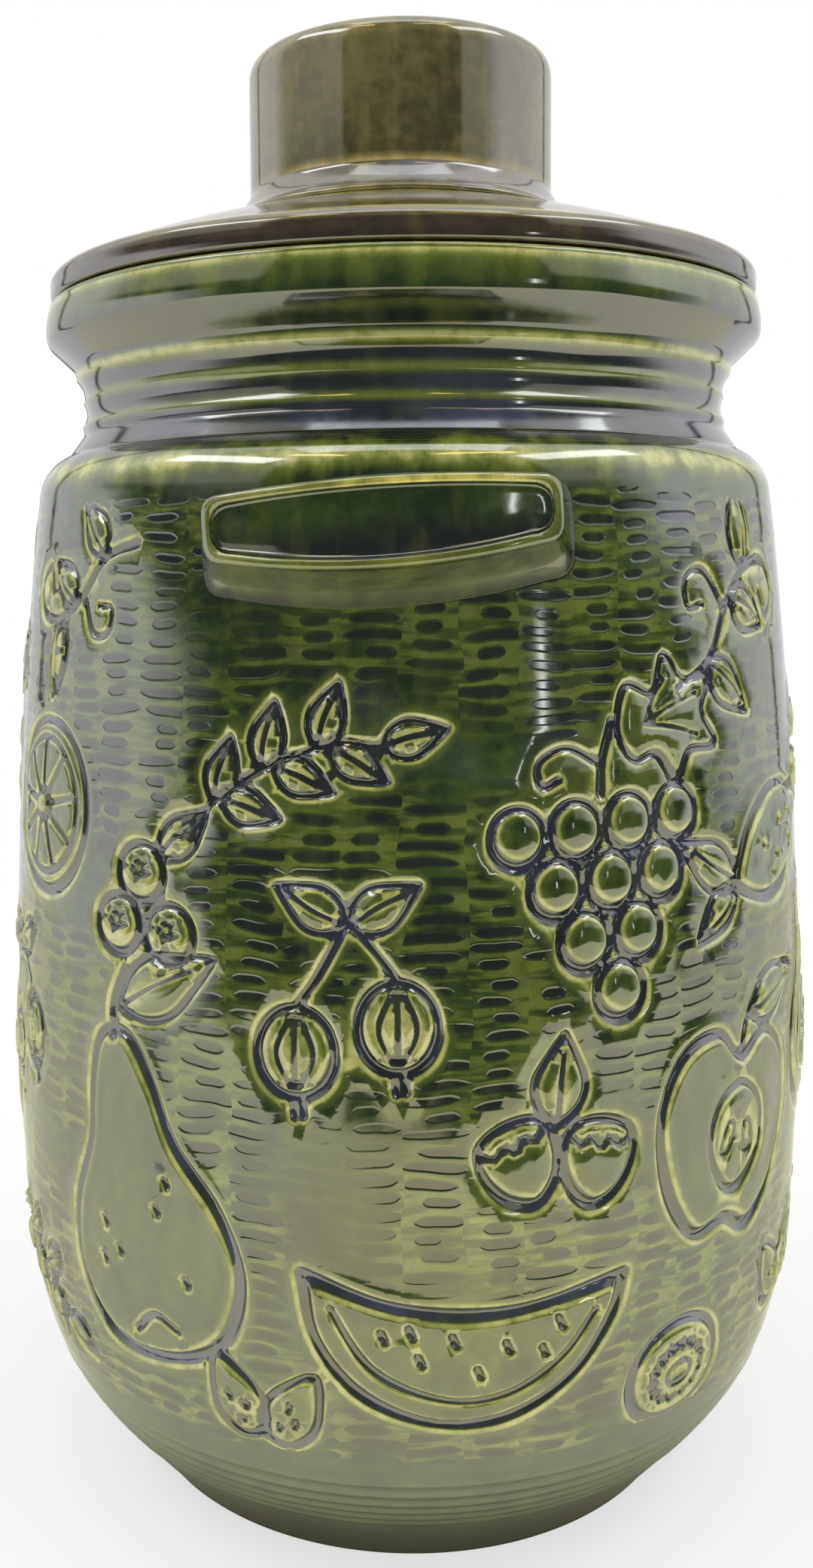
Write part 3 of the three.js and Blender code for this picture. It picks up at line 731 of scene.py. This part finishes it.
def lineWeights(curve, closed, weight):  # outlines are broader below, where the glaze gathers
    wave = 1 + 0.12 * np.sin(np.arange(len(curve)) * fineStep * 0.21 + len(curve))
    if closed:
        out = curve - curve.mean(0)
        wave *= 0.86 + 0.36 * np.clip(-out[:, 1] / np.maximum(np.hypot(*out.T), 0.01), 0, 1)
    return weight * wave


def reliefLift(points, lines, bodies, low, high):
    shape = reliefShape
    spots = np.vstack([curve for curve, closed, weight in lines])
    weights = np.concatenate([lineWeights(curve, closed, weight) for curve, closed, weight in lines])
    tree = treeOf(spots)
    away = np.empty(len(points))
    for k, (x, y) in enumerate(points):
        near, index, distance = tree.find((x, y, 0))
        away[k] = distance / weights[index]
    lift = -shape["grooveDepth"] * np.exp(-(away / shape["grooveWidth"]) ** 2.4)
    lift += shape["ridgeHeight"] * np.exp(-((away - shape["ridgeAway"]) / shape["ridgeWidth"]) ** 2)
    plain = np.clip(away - shape["plainFrom"], 0, 1)
    swell = np.zeros(len(points))
    for outline in bodies:
        box = (points > outline.min(0) - 0.1).all(1) & (points < outline.max(0) + 0.1).all(1)
        index = np.flatnonzero(box)
        index = index[insideOf(points[index], outline)]
        if len(index) == 0:
            continue
        gap = np.min(np.hypot(points[index, None, 0] - outline[None, ::3, 0],
                              points[index, None, 1] - outline[None, ::3, 1]), axis=1)
        swell[index] = np.maximum(swell[index], shape["swell"] * (1 - np.exp(-gap / shape["swellReach"])))
        plain[index] = 0
    turn = points[:, 0] / shape["round"]
    run = points[:, 1]
    sway = sum(high * np.sin(count * turn + run / length + start)
               for high, count, length, start in shape["handWaves"])
    fade = np.clip(np.minimum(run - low, high - run) / shape["fade"], 0, 1)
    fade = fade * fade * (3 - 2 * fade)
    return (lift + swell + sway) * fade, np.where(fade > 0.02, away, shape["farAway"]), plain, swell


def ringSwell(z):
    p = potShape
    return sum(p["ringHeight"] * bell(z, ring, p["ringWidth"]) for ring in p["baseRings"])


def crestRadius(z):
    return potShape["neckRadius"] + potShape["neckFlare"] * (z - potShape["neckWaist"]) ** 2


def lowerPath(low):  # axis, foot ring and base with its fine rings, up to the relief
    p = potShape
    inner, outer = p["foot"][0] - p["footRing"], p["foot"][0] - p["footRound"]
    recess = (inner - p["footSlope"], p["footRecess"])
    path = straightPath((0, p["footRecess"]), recess, 2)
    path += straightPath(recess, (inner, 0), 2)[1:]
    path += straightPath((inner, 0), (outer, 0), 2)[1:]
    path += quadPath((outer, 0), (p["foot"][0] - 0.2, 0.2), p["foot"], 3)[1:]
    tags = [(0, 0.4, 0)] * len(path)
    bandTop, bandDepth = p["footPaintedShadeBand"]
    for k in range(1, p["baseSteps"] + 1):
        run = low * k / p["baseSteps"]
        z = float(np.interp(run, wallRun, wallLine[:, 1]))
        rise = ringSwell(z) if k < p["baseSteps"] else 0.0
        r, z = wallPoint(run, rise)
        path.append((float(r), float(z)))
        # Below the band's top the foot is painted dark with the pool tone: partly darker glaze, partly
        # painted shade where the foot reflects its own contact shadow.
        band = min(max((bandTop - z) / bandDepth, 0), 1)
        tags.append((0.12 * rise / p["ringHeight"], 0.8 * band, 0))
    return path, tags


def upperPath(high):  # shoulder, ridged neck, rim, mouth and inside
    p = potShape
    path, tags = [], []

    def follow(points, thin, pool, cloud=0.0):  # a tag is a value, or a function of the share along
        fresh = points[1:] if path else points
        for k, point in enumerate(fresh):
            path.append(tuple(map(float, point)))
            t = k / max(len(fresh) - 1, 1)
            tags.append(tuple(value(t) if callable(value) else value for value in (thin, pool, cloud)))

    # The shoulder's rounding gets a pale band, partly glaze breaking over the corner and partly a painted
    # highlight. Its inner top, up to the neck's foot, is darkened, partly glaze gathering in the corner and
    # partly painted shade where it reflects the rim's dark underside.
    shoulder = [wallPoint(run, 0.0) for run in np.linspace(high, wallRun[-1], 17)]
    follow(shoulder, lambda t: 0.9 * bell(t, 0.5, 0.2), lambda t: min(max((t - 0.66) / 0.14, 0), 0.9))
    crest = p["firstCrest"]
    follow(quadPath(p["shoulderTop"], p["shoulderFoot"], p["neckFoot"], 4), 0.0, 0.9)
    # The neck is clouded milky blue, most at its foot: partly the glaze's own milkiness where it lies thick,
    # partly a painted bluish reflection of the light above.
    follow(straightPath(p["neckFoot"], p["neckCone"], 5), 0.0, 0.9, 0.5)
    follow(quadPath(p["neckCone"], p["neckTurn"], (crestRadius(crest), crest), 7),
           lambda t: 0.5 * bell(t, 1, 0.22), 0.9, 0.3)
    for k, (below, over) in enumerate(zip(p["crestTones"], p["crestTones"][1:])):
        spots = []
        for t in np.linspace(0, 1, 17):
            z = crest + (k + t) * p["crestPitch"]
            spots.append((crestRadius(z) - 4 * p["hollowDepth"] * t * (1 - t), z))
        follow(spots, lambda t: below * bell(t, 0, 0.19) + over * bell(t, 1, 0.19), 0.85, 0.24)
    follow(quadPath(path[-1], p["throatTurn"], p["throat"], 8), lambda t: 0.9 * bell(t, 0, 0.3), 0.85, 0.12)
    follow(straightPath(p["throat"], p["rimUnder"], 4), 0.0, 0.85, 0.1)
    follow(cubicPath(p["rimUnder"], p["rimLeave"], p["rimArrive"], p["rimSide"], 10),
           lambda t: 0.3 * t + 0.7 * bell(t, 1, 0.13), lambda t: 0.4 * (1 - t) ** 2)
    follow(quadPath(p["rimSide"], (p["rimSide"][0], p["rimTop"][1]), p["rimTop"], 6),
           lambda t: 0.3 + 0.7 * bell(t, 0.6, 0.3), 0.0)
    mouthTop = (p["mouth"] + p["mouthRound"], p["rimTop"][1])
    follow(straightPath(p["rimTop"], mouthTop, 4), lambda t: max(0, 0.8 - 2 * t), 0.0)
    mouthSide = (p["mouth"], p["rimTop"][1] - p["mouthRound"])
    follow(quadPath(mouthTop, (p["mouth"], p["rimTop"][1]), mouthSide, 5), 0.8, 0.0)
    neckIn = (p["mouth"], p["neckInside"])
    follow(straightPath(mouthSide, neckIn, 4), lambda t: max(0, 0.4 - t), 0.1)
    follow(quadPath(neckIn, p["shoulderInCorner"], p["shoulderIn"], 4), 0.1, 0.1)
    bellyIn = (p["belly"][0] - p["wall"], p["belly"][1])
    follow(cubicPath(p["shoulderIn"], p["sideIn"], (bellyIn[0], p["sideLeave"][1]), bellyIn, 5), 0.0, 0.1)
    floorLeave = (bellyIn[0], p["baseArrive"][1])
    floorArrive = (p["floor"][0] + p["floorSpread"], p["floor"][1])
    follow(cubicPath(bellyIn, floorLeave, floorArrive, p["floor"], 6), 0.0, 0.2)
    follow(straightPath(p["floor"], (0, p["floor"][1]), 2), 0.0, 0.3)
    return path, tags


def makePot():
    low = float(runAt(potShape["reliefFrom"]))
    high = float(runAt(potShape["reliefTo"]))
    bm = bmesh.new()
    # Tags: thin glaze with painted highlights, pooled glaze with painted shade, milky cloud with painted
    # reflection, the distance to the nearest incised line, and the share of plain wall.
    layers = [bm.verts.layers.float.new(name) for name in ("thin", "pool", "cloud", "lineDist", "plain")]
    lower, lowerTags = lowerPath(low)
    upper, upperTags = upperPath(high)
    spinPath(bm, lower, potShape["turns"])
    spinPath(bm, upper, potShape["turns"])
    farAway = reliefShape["farAway"]
    tags = [(*tag, farAway, 0.0) for tag in lowerTags + upperTags]
    tagFromPath(bm, lower + upper, tags, layers)
    lines, bodies = layMotifs()
    points = reliefPoints(lines, low, high)
    flat = np.array(points)
    lift, away, plain, swell = reliefLift(flat, lines, bodies, low, high)
    r, z = wallPoint(flat[:, 1], lift)
    turn = flat[:, 0] / reliefShape["round"]
    places = np.column_stack([r * np.sin(turn), -r * np.cos(turn), z]) * mm
    verts = []
    for place, gap, hatch, rise in zip(places, away, plain, swell):
        vert = bm.verts.new(place)
        vert[layers[0]] = 0.1 * rise
        vert[layers[3]] = min(gap, farAway)
        vert[layers[4]] = hatch
        verts.append(vert)
    cut = delaunay_2d_cdt([Vector(p) for p in points], [], [], 0, 1e-7)
    for face in cut[2]:
        bm.faces.new([verts[cut[3][k][0]] for k in face])
    print("relief", len(points), "points", len(cut[2]), "triangles")
    for face in bm.faces:
        if face.calc_center_median().z < 0.3 * mm:
            face.material_index = 1
    return addPiece("potBody", bm, [greenGlaze, bareClay], "pot", "pot_body")


makePot()


def turnPiece(name, stretches, turns, material, node):
    path, tags = [], []
    for points, *tag in stretches:  # a tag is a value, or a function of the share along the stretch
        fresh = points if not path else points[1:]
        path += fresh
        for k in range(len(fresh)):
            share = (k + 1) / len(fresh)
            tags.append([value(share) if callable(value) else value for value in tag])
    bm = bmesh.new()
    # Tags: thin glaze with painted highlights, pooled glaze with painted shade, and milky cloud with painted
    # reflection.
    layers = [bm.verts.layers.float.new(key) for key in ("thin", "pool", "cloud")]
    spinPath(bm, path, turns)
    tagFromPath(bm, path, tags, layers)
    return addPiece(name, bm, [material], "cover", node)


lidShape = {
    "rest": 270.3, "radius": 82.7, "edge": 6.5, "edgeRound": 1.7, "overRound": 2.4, "thick": 6.3,
    "slope": 0.32, "crown": 0.9, "flange": 67.2, "flangeWall": 4.5, "flangeDepth": 10, "flangeRound": 1.2,
    "seat": 41, "hole": 28, "turns": 200,
}


def makeLid():
    p = lidShape
    top = p["rest"] + p["edge"]
    seat = top + (p["radius"] - p["edgeRound"] - p["seat"]) * p["slope"]
    under = seat - p["thick"]
    inside, outside = p["flange"] - p["flangeWall"], p["flange"]
    bottom = p["rest"] - p["flangeDepth"]
    hollow = top + (p["radius"] - inside) * p["slope"] - p["thick"]
    lowEdge, lowSide = (p["radius"] - p["edgeRound"], p["rest"]), (p["radius"], p["rest"] + p["edgeRound"])
    over = p["overRound"]
    topSide, topEdge = (p["radius"], top - over), (p["radius"] - 1.5 * over, top + 0.5 * over * p["slope"])
    topCorner = (p["radius"] - 0.2, top - 0.3)
    crown = ((p["radius"] + p["seat"]) / 2, (top + seat) / 2 + p["crown"])
    rounded = p["flangeRound"]
    stretches = [
        (straightPath((p["hole"], under), (p["seat"], under), 2), 0, 0.1),
        (straightPath((p["seat"], under), (inside, hollow), 3), 0, 0.1),
        (straightPath((inside, hollow), (inside, bottom + rounded), 3), 0, 0),
        (quadPath((inside, bottom + rounded), (inside, bottom), (inside + rounded, bottom), 3), 0.5, 0),
        (straightPath((inside + rounded, bottom), (outside - rounded, bottom), 2), 0.2, 0),
        (quadPath((outside - rounded, bottom), (outside, bottom), (outside, bottom + rounded), 3), 0.5, 0),
        (straightPath((outside, bottom + rounded), (outside, p["rest"]), 3), 0, 0),
        (straightPath((outside, p["rest"]), lowEdge, 3), 0, 0.4),
        (quadPath(lowEdge, (p["radius"], p["rest"]), lowSide, 5), 0, 0.5),
        (straightPath(lowSide, topSide, 3), 0, 0.25),
        # A pale golden line along the lid's top edge: partly glaze breaking over the edge, partly a painted
        # highlight.
        (quadPath(topSide, topCorner, topEdge, 8), lambda t: 0.2 + 1.3 * bell(t, 0.85, 0.15), 0),
        # Toward the knob the lid's top is painted pale cream: a painted reflection of the knob's bright
        # flare.
        (quadPath(topEdge, crown, (p["seat"], seat), 14), lambda t: 0.16 + 1.9 * max(0, t - 0.45), 0),
        (straightPath((p["seat"], seat), (p["hole"], seat), 2), 0, 0),
        (straightPath((p["hole"], seat), (p["hole"], under), 2), 0, 0),
    ]
    return turnPiece("potLid", stretches, p["turns"], lidGlaze, "lid")


makeLid()

knobShape = {
    "radius": 35.8, "top": 330.1, "crown": 1.8, "edgeRound": 5, "foot": 41, "footEdge": 0.8,
    "flareWidth": 2.2, "flareRise": 2.2, "waist": 297, "waistLine": 0.4, "wall": 6, "hollow": 28,
    "seat": 289.9, "turns": 160,
}


def makeKnob():
    p = knobShape
    ceiling = p["top"] - p["wall"]
    toe = (p["foot"], p["seat"] + p["footEdge"])
    flare = (p["radius"] + p["flareWidth"], p["seat"] + p["flareRise"])
    waist, overWaist = (p["radius"], p["waist"]), (p["radius"], p["waist"] + p["waistLine"])
    crownStart = p["top"] - p["crown"]
    side = (p["radius"], crownStart - p["edgeRound"])
    edge = (p["radius"] - p["edgeRound"], crownStart)
    hollow = (p["hollow"], ceiling - p["wall"])
    stretches = [
        (quadPath((0, ceiling), (p["hollow"], ceiling), hollow, 6), 0, 0.1),
        (straightPath(hollow, (p["hollow"], p["seat"]), 4), 0, 0.1),
        (straightPath((p["hollow"], p["seat"]), (p["foot"], p["seat"]), 3), 0, 0),
        (straightPath((p["foot"], p["seat"]), toe, 2), 0.3, 0.2),
        # The flare is clouded lavender: partly milky glaze lying thick in the hollow, partly a painted
        # reflection of the light above.
        (quadPath(toe, flare, waist, 12), 0, 0, 0.6),
        (straightPath(waist, overWaist, 2), 0.9, 0),
        (straightPath(overWaist, side, 14), 0, 0),
        (quadPath(side, (p["radius"], crownStart), edge, 8), 0.36, 0),
        (quadPath(edge, (p["radius"] / 2, p["top"]), (0, p["top"]), 10), 0, 0),
    ]
    return turnPiece("lidKnob", stretches, p["turns"], knobGlaze, "lid_knob")


makeKnob()

lugShape = {
    "face": (33.1, 4.0, 225.9, 224.8, 209.5, 212.1),  # half width, corner, heights: top middle, top end,
    "root": (34.5, 4, 226, 223.5, 203.2, 206.5),  # bottom middle, bottom end
    "reach": 101.5, "bow": 8.5, "edgeRound": 1.1, "lip": 1.6, "dishCorner": 4.6, "centre": 218,
    "turn": -4.0, "tilt": 3.2, "points": 112, "fillet": 1.3, "sunk": 0.5,
    "flareRings": ((0.72, 0.15), (0.38, 0.7), (0.12, 1.8)), "sideRings": (0.3, 0.6, 0.85),
    "edgeTurns": (0, 22, 45, 68, 90),
    "dishRings": (  # inset, depth, rise of the low side
        (0.08, 0.75, 0.2), (0.22, 1.4, 0.5), (0.45, 1.75, 1.0),
        (0.9, 1.9, 1.9), (2.2, 2.0, 2.2), (4.1, 2.1, 1.2),
    ),
}


def lugOutline(form, inset, rounding=None):
    half, corner, topMid, topEnd, bottomMid, bottomEnd = form
    half -= inset
    top, bottom = topEnd - inset, bottomEnd + inset
    corner = min(max(corner - inset, 1.0) if rounding is None else rounding, 0.48 * (top - bottom))
    arch = 2 * (topMid - inset) - top
    sag = 2 * (bottomMid + inset) - bottom
    dense = []
    for s, level, other, bend in ((1, top, bottom, arch), (-1, bottom, top, sag)):
        side, inner, low, high = s * half, s * (half - corner), other + s * corner, level - s * corner
        dense += straightPath((side, low), (side, high), 12)[:-1]
        dense += quadPath((side, high), (side, level), (inner, level), 12)[:-1]
        dense += quadPath((inner, level), (0, bend), (-inner, level), 60)[:-1]
        dense += quadPath((-inner, level), (-side, level), (-side, high), 12)[:-1]
    p = np.array(dense + dense[:1])
    run = runAlong(p)
    spots = np.linspace(0, run[-1], lugShape["points"], endpoint=False)
    return pointsAt(p, run, spots)


def wallFront(x, z):  # distance of the wall from the axis plane at a place across the front
    r = np.interp(z, wallLine[:, 1], wallLine[:, 0])
    return np.sqrt(np.maximum(r * r - x * x, 1))


def lugRings():
    s = lugShape
    rings = []  # points and the glaze tags of each ring

    def front(x):
        return s["reach"] - s["bow"] * (x / s["face"][0]) ** 2

    def addRing(outline, depth, thin, pool):
        rings.append((np.column_stack([outline[:, 0], -depth, outline[:, 1]]), thin, pool))

    wide = lugOutline(s["root"], -s["fillet"])
    addRing(wide, wallFront(*wide.T) - s["sunk"], 0.0, 0.9)
    for share, out in s["flareRings"]:
        flare = lugOutline(s["root"], -s["fillet"] * share)
        addRing(flare, wallFront(*flare.T) + out, 0.0, 0.8 - share * 0.2)
    root, face = lugOutline(s["root"], 0), lugOutline(s["face"], 0)
    base = wallFront(*root.T)
    for share in s["sideRings"]:
        depth = base + (front(face[:, 0]) - s["edgeRound"] - base) * share
        addRing(root + (face - root) * share, depth, 0.36 - 0.2 * share, 0.1 * (1 - share))
    for turn in s["edgeTurns"]:
        c, up = aim(turn)
        edge = lugOutline(s["face"], s["edgeRound"] * (1 - c))
        addRing(edge, front(edge[:, 0]) - s["edgeRound"] * (1 - up), 0.25 + 0.55 * up ** 2, 0.0)
    lip = lugOutline(s["face"], s["lip"], s["dishCorner"])
    addRing(lip, front(lip[:, 0]) - 0.1, 0.9, 0.0)
    for inset, sink, rise in s["dishRings"]:
        dish = lugOutline(s["face"], s["lip"] + inset, s["dishCorner"] - 0.6 * inset)
        dish[:, 1] += rise * np.clip((s["centre"] - dish[:, 1]) / 5, 0, 1)
        addRing(dish, front(dish[:, 0]) - sink, 0.0, 0.0)
    return rings


def closeRing(bm, verts):  # a strip of quads from the upper to the lower side of a ring
    middle = sum(vert.co.z for vert in verts) / len(verts)
    start = min(range(len(verts)), key=lambda k: abs(verts[k].co.z - middle) - verts[k].co.x)
    ring = verts[start:] + verts[:start]
    for k in range(len(ring) // 2 - 1):
        bm.faces.new((ring[k], ring[k + 1], ring[-2 - k], ring[-1 - k]))


def makeLug(name, node, turn):
    bm = bmesh.new()
    thin, pool = [bm.verts.layers.float.new(key) for key in ("thin", "pool")]
    loops, sides = [], []
    rings = lugRings()
    dishFrom = len(rings) - len(lugShape["dishRings"])
    for index, (ring, thinValue, poolValue) in enumerate(rings):
        verts = [bm.verts.new(Vector(point) * mm) for point in ring]
        for vert in verts:
            # Thin glaze is painted paler toward the lug's top: partly glaze breaking over its upper edge,
            # partly a painted highlight where the lamps above catch it; less toward its ends.
            upper = min(max((vert.co.z / mm - lugShape["centre"]) / 6, 0), 1)
            ends = min(max((abs(vert.co.x) / mm - 27) / 5, 0), 1)
            vert[thin] = thinValue * (0.55 + 0.45 * upper) * (1 - 0.4 * ends)
            vert[pool] = poolValue
            if index >= dishFrom:  # glaze gathers in the lower part of the dish
                low = (lugShape["centre"] + 1.5 - vert.co.z / mm) / 5
                vert[pool] = min(max(low, 0), 1)
        sides.append(verts)
        loops.append([bm.edges.new((a, b)) for a, b in zip(verts, verts[1:] + verts[:1])])
    for near, far in zip(loops, loops[1:]):
        bmesh.ops.bridge_loops(bm, edges=near + far)
    closeRing(bm, sides[-1])
    closeRing(bm, sides[0])
    pivot = Vector((0, 0, lugShape["centre"] * mm))
    tilt = Matrix.Rotation(-math.radians(lugShape["tilt"]), 3, "Y")
    bmesh.ops.rotate(bm, verts=bm.verts, cent=pivot, matrix=tilt)
    about = Matrix.Rotation(math.radians(lugShape["turn"] + turn), 3, "Z")
    bmesh.ops.rotate(bm, verts=bm.verts, cent=(0, 0, 0), matrix=about)
    return addPiece(name, bm, [handleGlaze], "pot", node)


makeLug("lugFront", "lug_handle_front", 0)
makeLug("lugBack", "lug_handle_back", 180)
print("pieces done")

tableShape = {"half": (0.62, 0.45), "back": 0.085, "corner": 0.1, "paintedLightPool": (0.03, -0.28, 0)}


def makeTable():
    bm = bmesh.new()
    grid = bmesh.ops.create_grid(bm, x_segments=1, y_segments=1, size=1.0)
    bmesh.ops.scale(bm, verts=grid["verts"], vec=(*tableShape["half"], 1))
    bmesh.ops.translate(bm, verts=grid["verts"], vec=(0, tableShape["back"], 0))
    bmesh.ops.bevel(bm, geom=grid["verts"], offset=tableShape["corner"], affect="VERTICES", segments=10,
                    profile=0.5, material=-1)
    mesh = bpy.data.meshes.new("table")
    bm.to_mesh(mesh)
    bm.free()
    material = bpy.data.materials.new("paleTable")
    n = freshNodes(material)
    path = n.add("ShaderNodeLightPath").outputs
    paint = n.mix(path["Is Camera Ray"], toneOf(246, 240, 224), toneOf(168, 168, 168))
    warm = n.mix(path["Is Glossy Ray"], paint, toneOf(203, 199, 172))
    lit = n.add("ShaderNodeBsdfDiffuse", Color=warm).outputs[0]
    place = n.place()
    # A painted pool of warm light on the table ahead of the pot, seen only in reflections.
    spot = tableShape["paintedLightPool"]
    ahead = n.add("ShaderNodeVectorMath", {"operation": "DISTANCE"}, i0=place, i1=spot).outputs[1]
    paintedLightPool = n.mix(n.ease(ahead, 0.06, 0.24), toneOf(252, 242, 184), toneOf(250, 250, 232))
    tint = n.mix(path["Is Glossy Ray"], (1, 1, 1, 1), paintedLightPool)
    away = n.add("ShaderNodeVectorMath", {"operation": "LENGTH"}, i0=place).outputs[1]
    # In reflections the table glows, except near the foot where the glow fades out: a painted contact shadow
    # for the foot to reflect.
    mirrored = n.times(path["Is Glossy Ray"], n.ease(away, 0.063, 0.1, 0.0, 0.48))
    glow = n.plus(n.times(path["Is Camera Ray"], 0.64), mirrored)
    shine = n.add("ShaderNodeEmission", Color=tint, Strength=glow).outputs[0]
    both = n.add("ShaderNodeAddShader", i0=lit, i1=shine).outputs[0]
    n.add("ShaderNodeOutputMaterial", Surface=both)
    mesh.materials.append(material)
    table = bpy.data.objects.new("table", mesh)
    scene.collection.objects.link(table)


makeTable()


def makeWorld():  # white paper behind, a dim room in front, pale walls above to both sides
    world = bpy.data.worlds.new("studio")
    scene.world = world
    n = freshNodes(world)
    way = n.axes(n.add("ShaderNodeTexCoord").outputs["Generated"])
    flat = n.calc("SQRT", n.minus(1.0, n.times(way[2], way[2])))
    ahead = n.calc("DIVIDE", n.times(way[1], -1.0), n.most(flat, 0.02))
    side = n.ease(way[2], 0.08, 0.22, 0.24, -0.3)
    leaning = n.plus(ahead, n.times(way[0], side))
    behind = n.ease(leaning, n.ease(way[2], 0.08, 0.22, 0.42, 0.26), -0.14)
    beside = n.ease(ahead, 0.73, 0.7)
    above = n.ease(way[2], 0.2, 0.3)
    room = n.mix(n.times(beside, above), (0.036, 0.042, 0.046, 1), (0.46, 0.45, 0.38, 1))
    paper = n.mix(behind, room, (1, 1, 1, 1))
    edge = n.times(n.ease(ahead, -0.7, -0.715), n.ease(ahead, -0.75, -0.735))
    gap = n.times(n.ease(ahead, -0.945, -0.965, 0.0, 0.9), n.ease(way[2], 0.25, 0.12))
    dark = n.most(edge, gap)
    mirrored = n.mix(dark, paper, (0.03, 0.03, 0.03, 1))  # dark joins between the sheets of paper
    path = n.add("ShaderNodeLightPath").outputs
    soft = n.mix(path["Is Glossy Ray"], (0.82, 0.82, 0.82, 1), mirrored)
    final = n.mix(path["Is Camera Ray"], soft, (1, 1, 1, 1))
    back = n.add("ShaderNodeBackground", Color=final, Strength=1.0)
    n.add("ShaderNodeOutputWorld", Surface=back.outputs[0])


makeWorld()


def addLamp(name, place, aim, size, power, tint=(1, 1, 1)):
    data = bpy.data.lights.new(name, "AREA")
    data.shape = "RECTANGLE"
    data.size, data.size_y = size
    data.energy = power
    data.color = tint
    lamp = bpy.data.objects.new(name, data)
    lamp.location = place
    lamp.rotation_euler = (Vector(aim) - Vector(place)).to_track_quat("-Z", "Y").to_euler()
    scene.collection.objects.link(lamp)


addLamp("topLamp", (0, -0.22, 1.3), (0, 0, 0.15), (0.8, 0.34), 1.3, (0.9, 0.94, 1))
addLamp("leftLamp", (-0.82, -0.25, 1.2), (0, 0, 0.15), (0.8, 0.22), 1.9, (0.94, 0.97, 1))
addLamp("rightLamp", (0.76, -0.25, 1.2), (0, 0, 0.15), (0.8, 0.22), 1.6, (0.94, 0.97, 1))
addLamp("warmLeft", (-0.32, -0.42, 1.05), (0, 0, 0.2), (0.22, 0.03), 0.16, (1, 0.72, 0.22))
addLamp("warmRight", (0.25, -0.42, 1.05), (0, 0, 0.2), (0.32, 0.03), 0.2, (1, 0.72, 0.22))
addLamp("windowLamp", (0.78, -1.05, 0.25), (0, 0, 0.2), (0.03, 0.24), 0.12)

cameraSetup = {"place": (-0.01, -0.3608, 0.2102), "pitch": 0.087, "roll": -0.00824, "lens": 36 * 1950 / 2082,
               "shift": (0.0278, -0.0581)}


def makeCamera():
    data = bpy.data.cameras.new("photoCamera")
    data.sensor_fit = "AUTO"
    data.sensor_width = 36
    data.lens = cameraSetup["lens"]
    data.shift_x, data.shift_y = cameraSetup["shift"]
    data.clip_start = 0.01
    camera = bpy.data.objects.new("photoCamera", data)
    tilt = Matrix.Rotation(math.pi / 2 - cameraSetup["pitch"], 4, "X")
    roll = Matrix.Rotation(cameraSetup["roll"], 4, "Z")
    camera.matrix_world = Matrix.Translation(cameraSetup["place"]) @ tilt @ roll
    scene.collection.objects.link(camera)
    scene.camera = camera


makeCamera()
print("table, light and camera done")
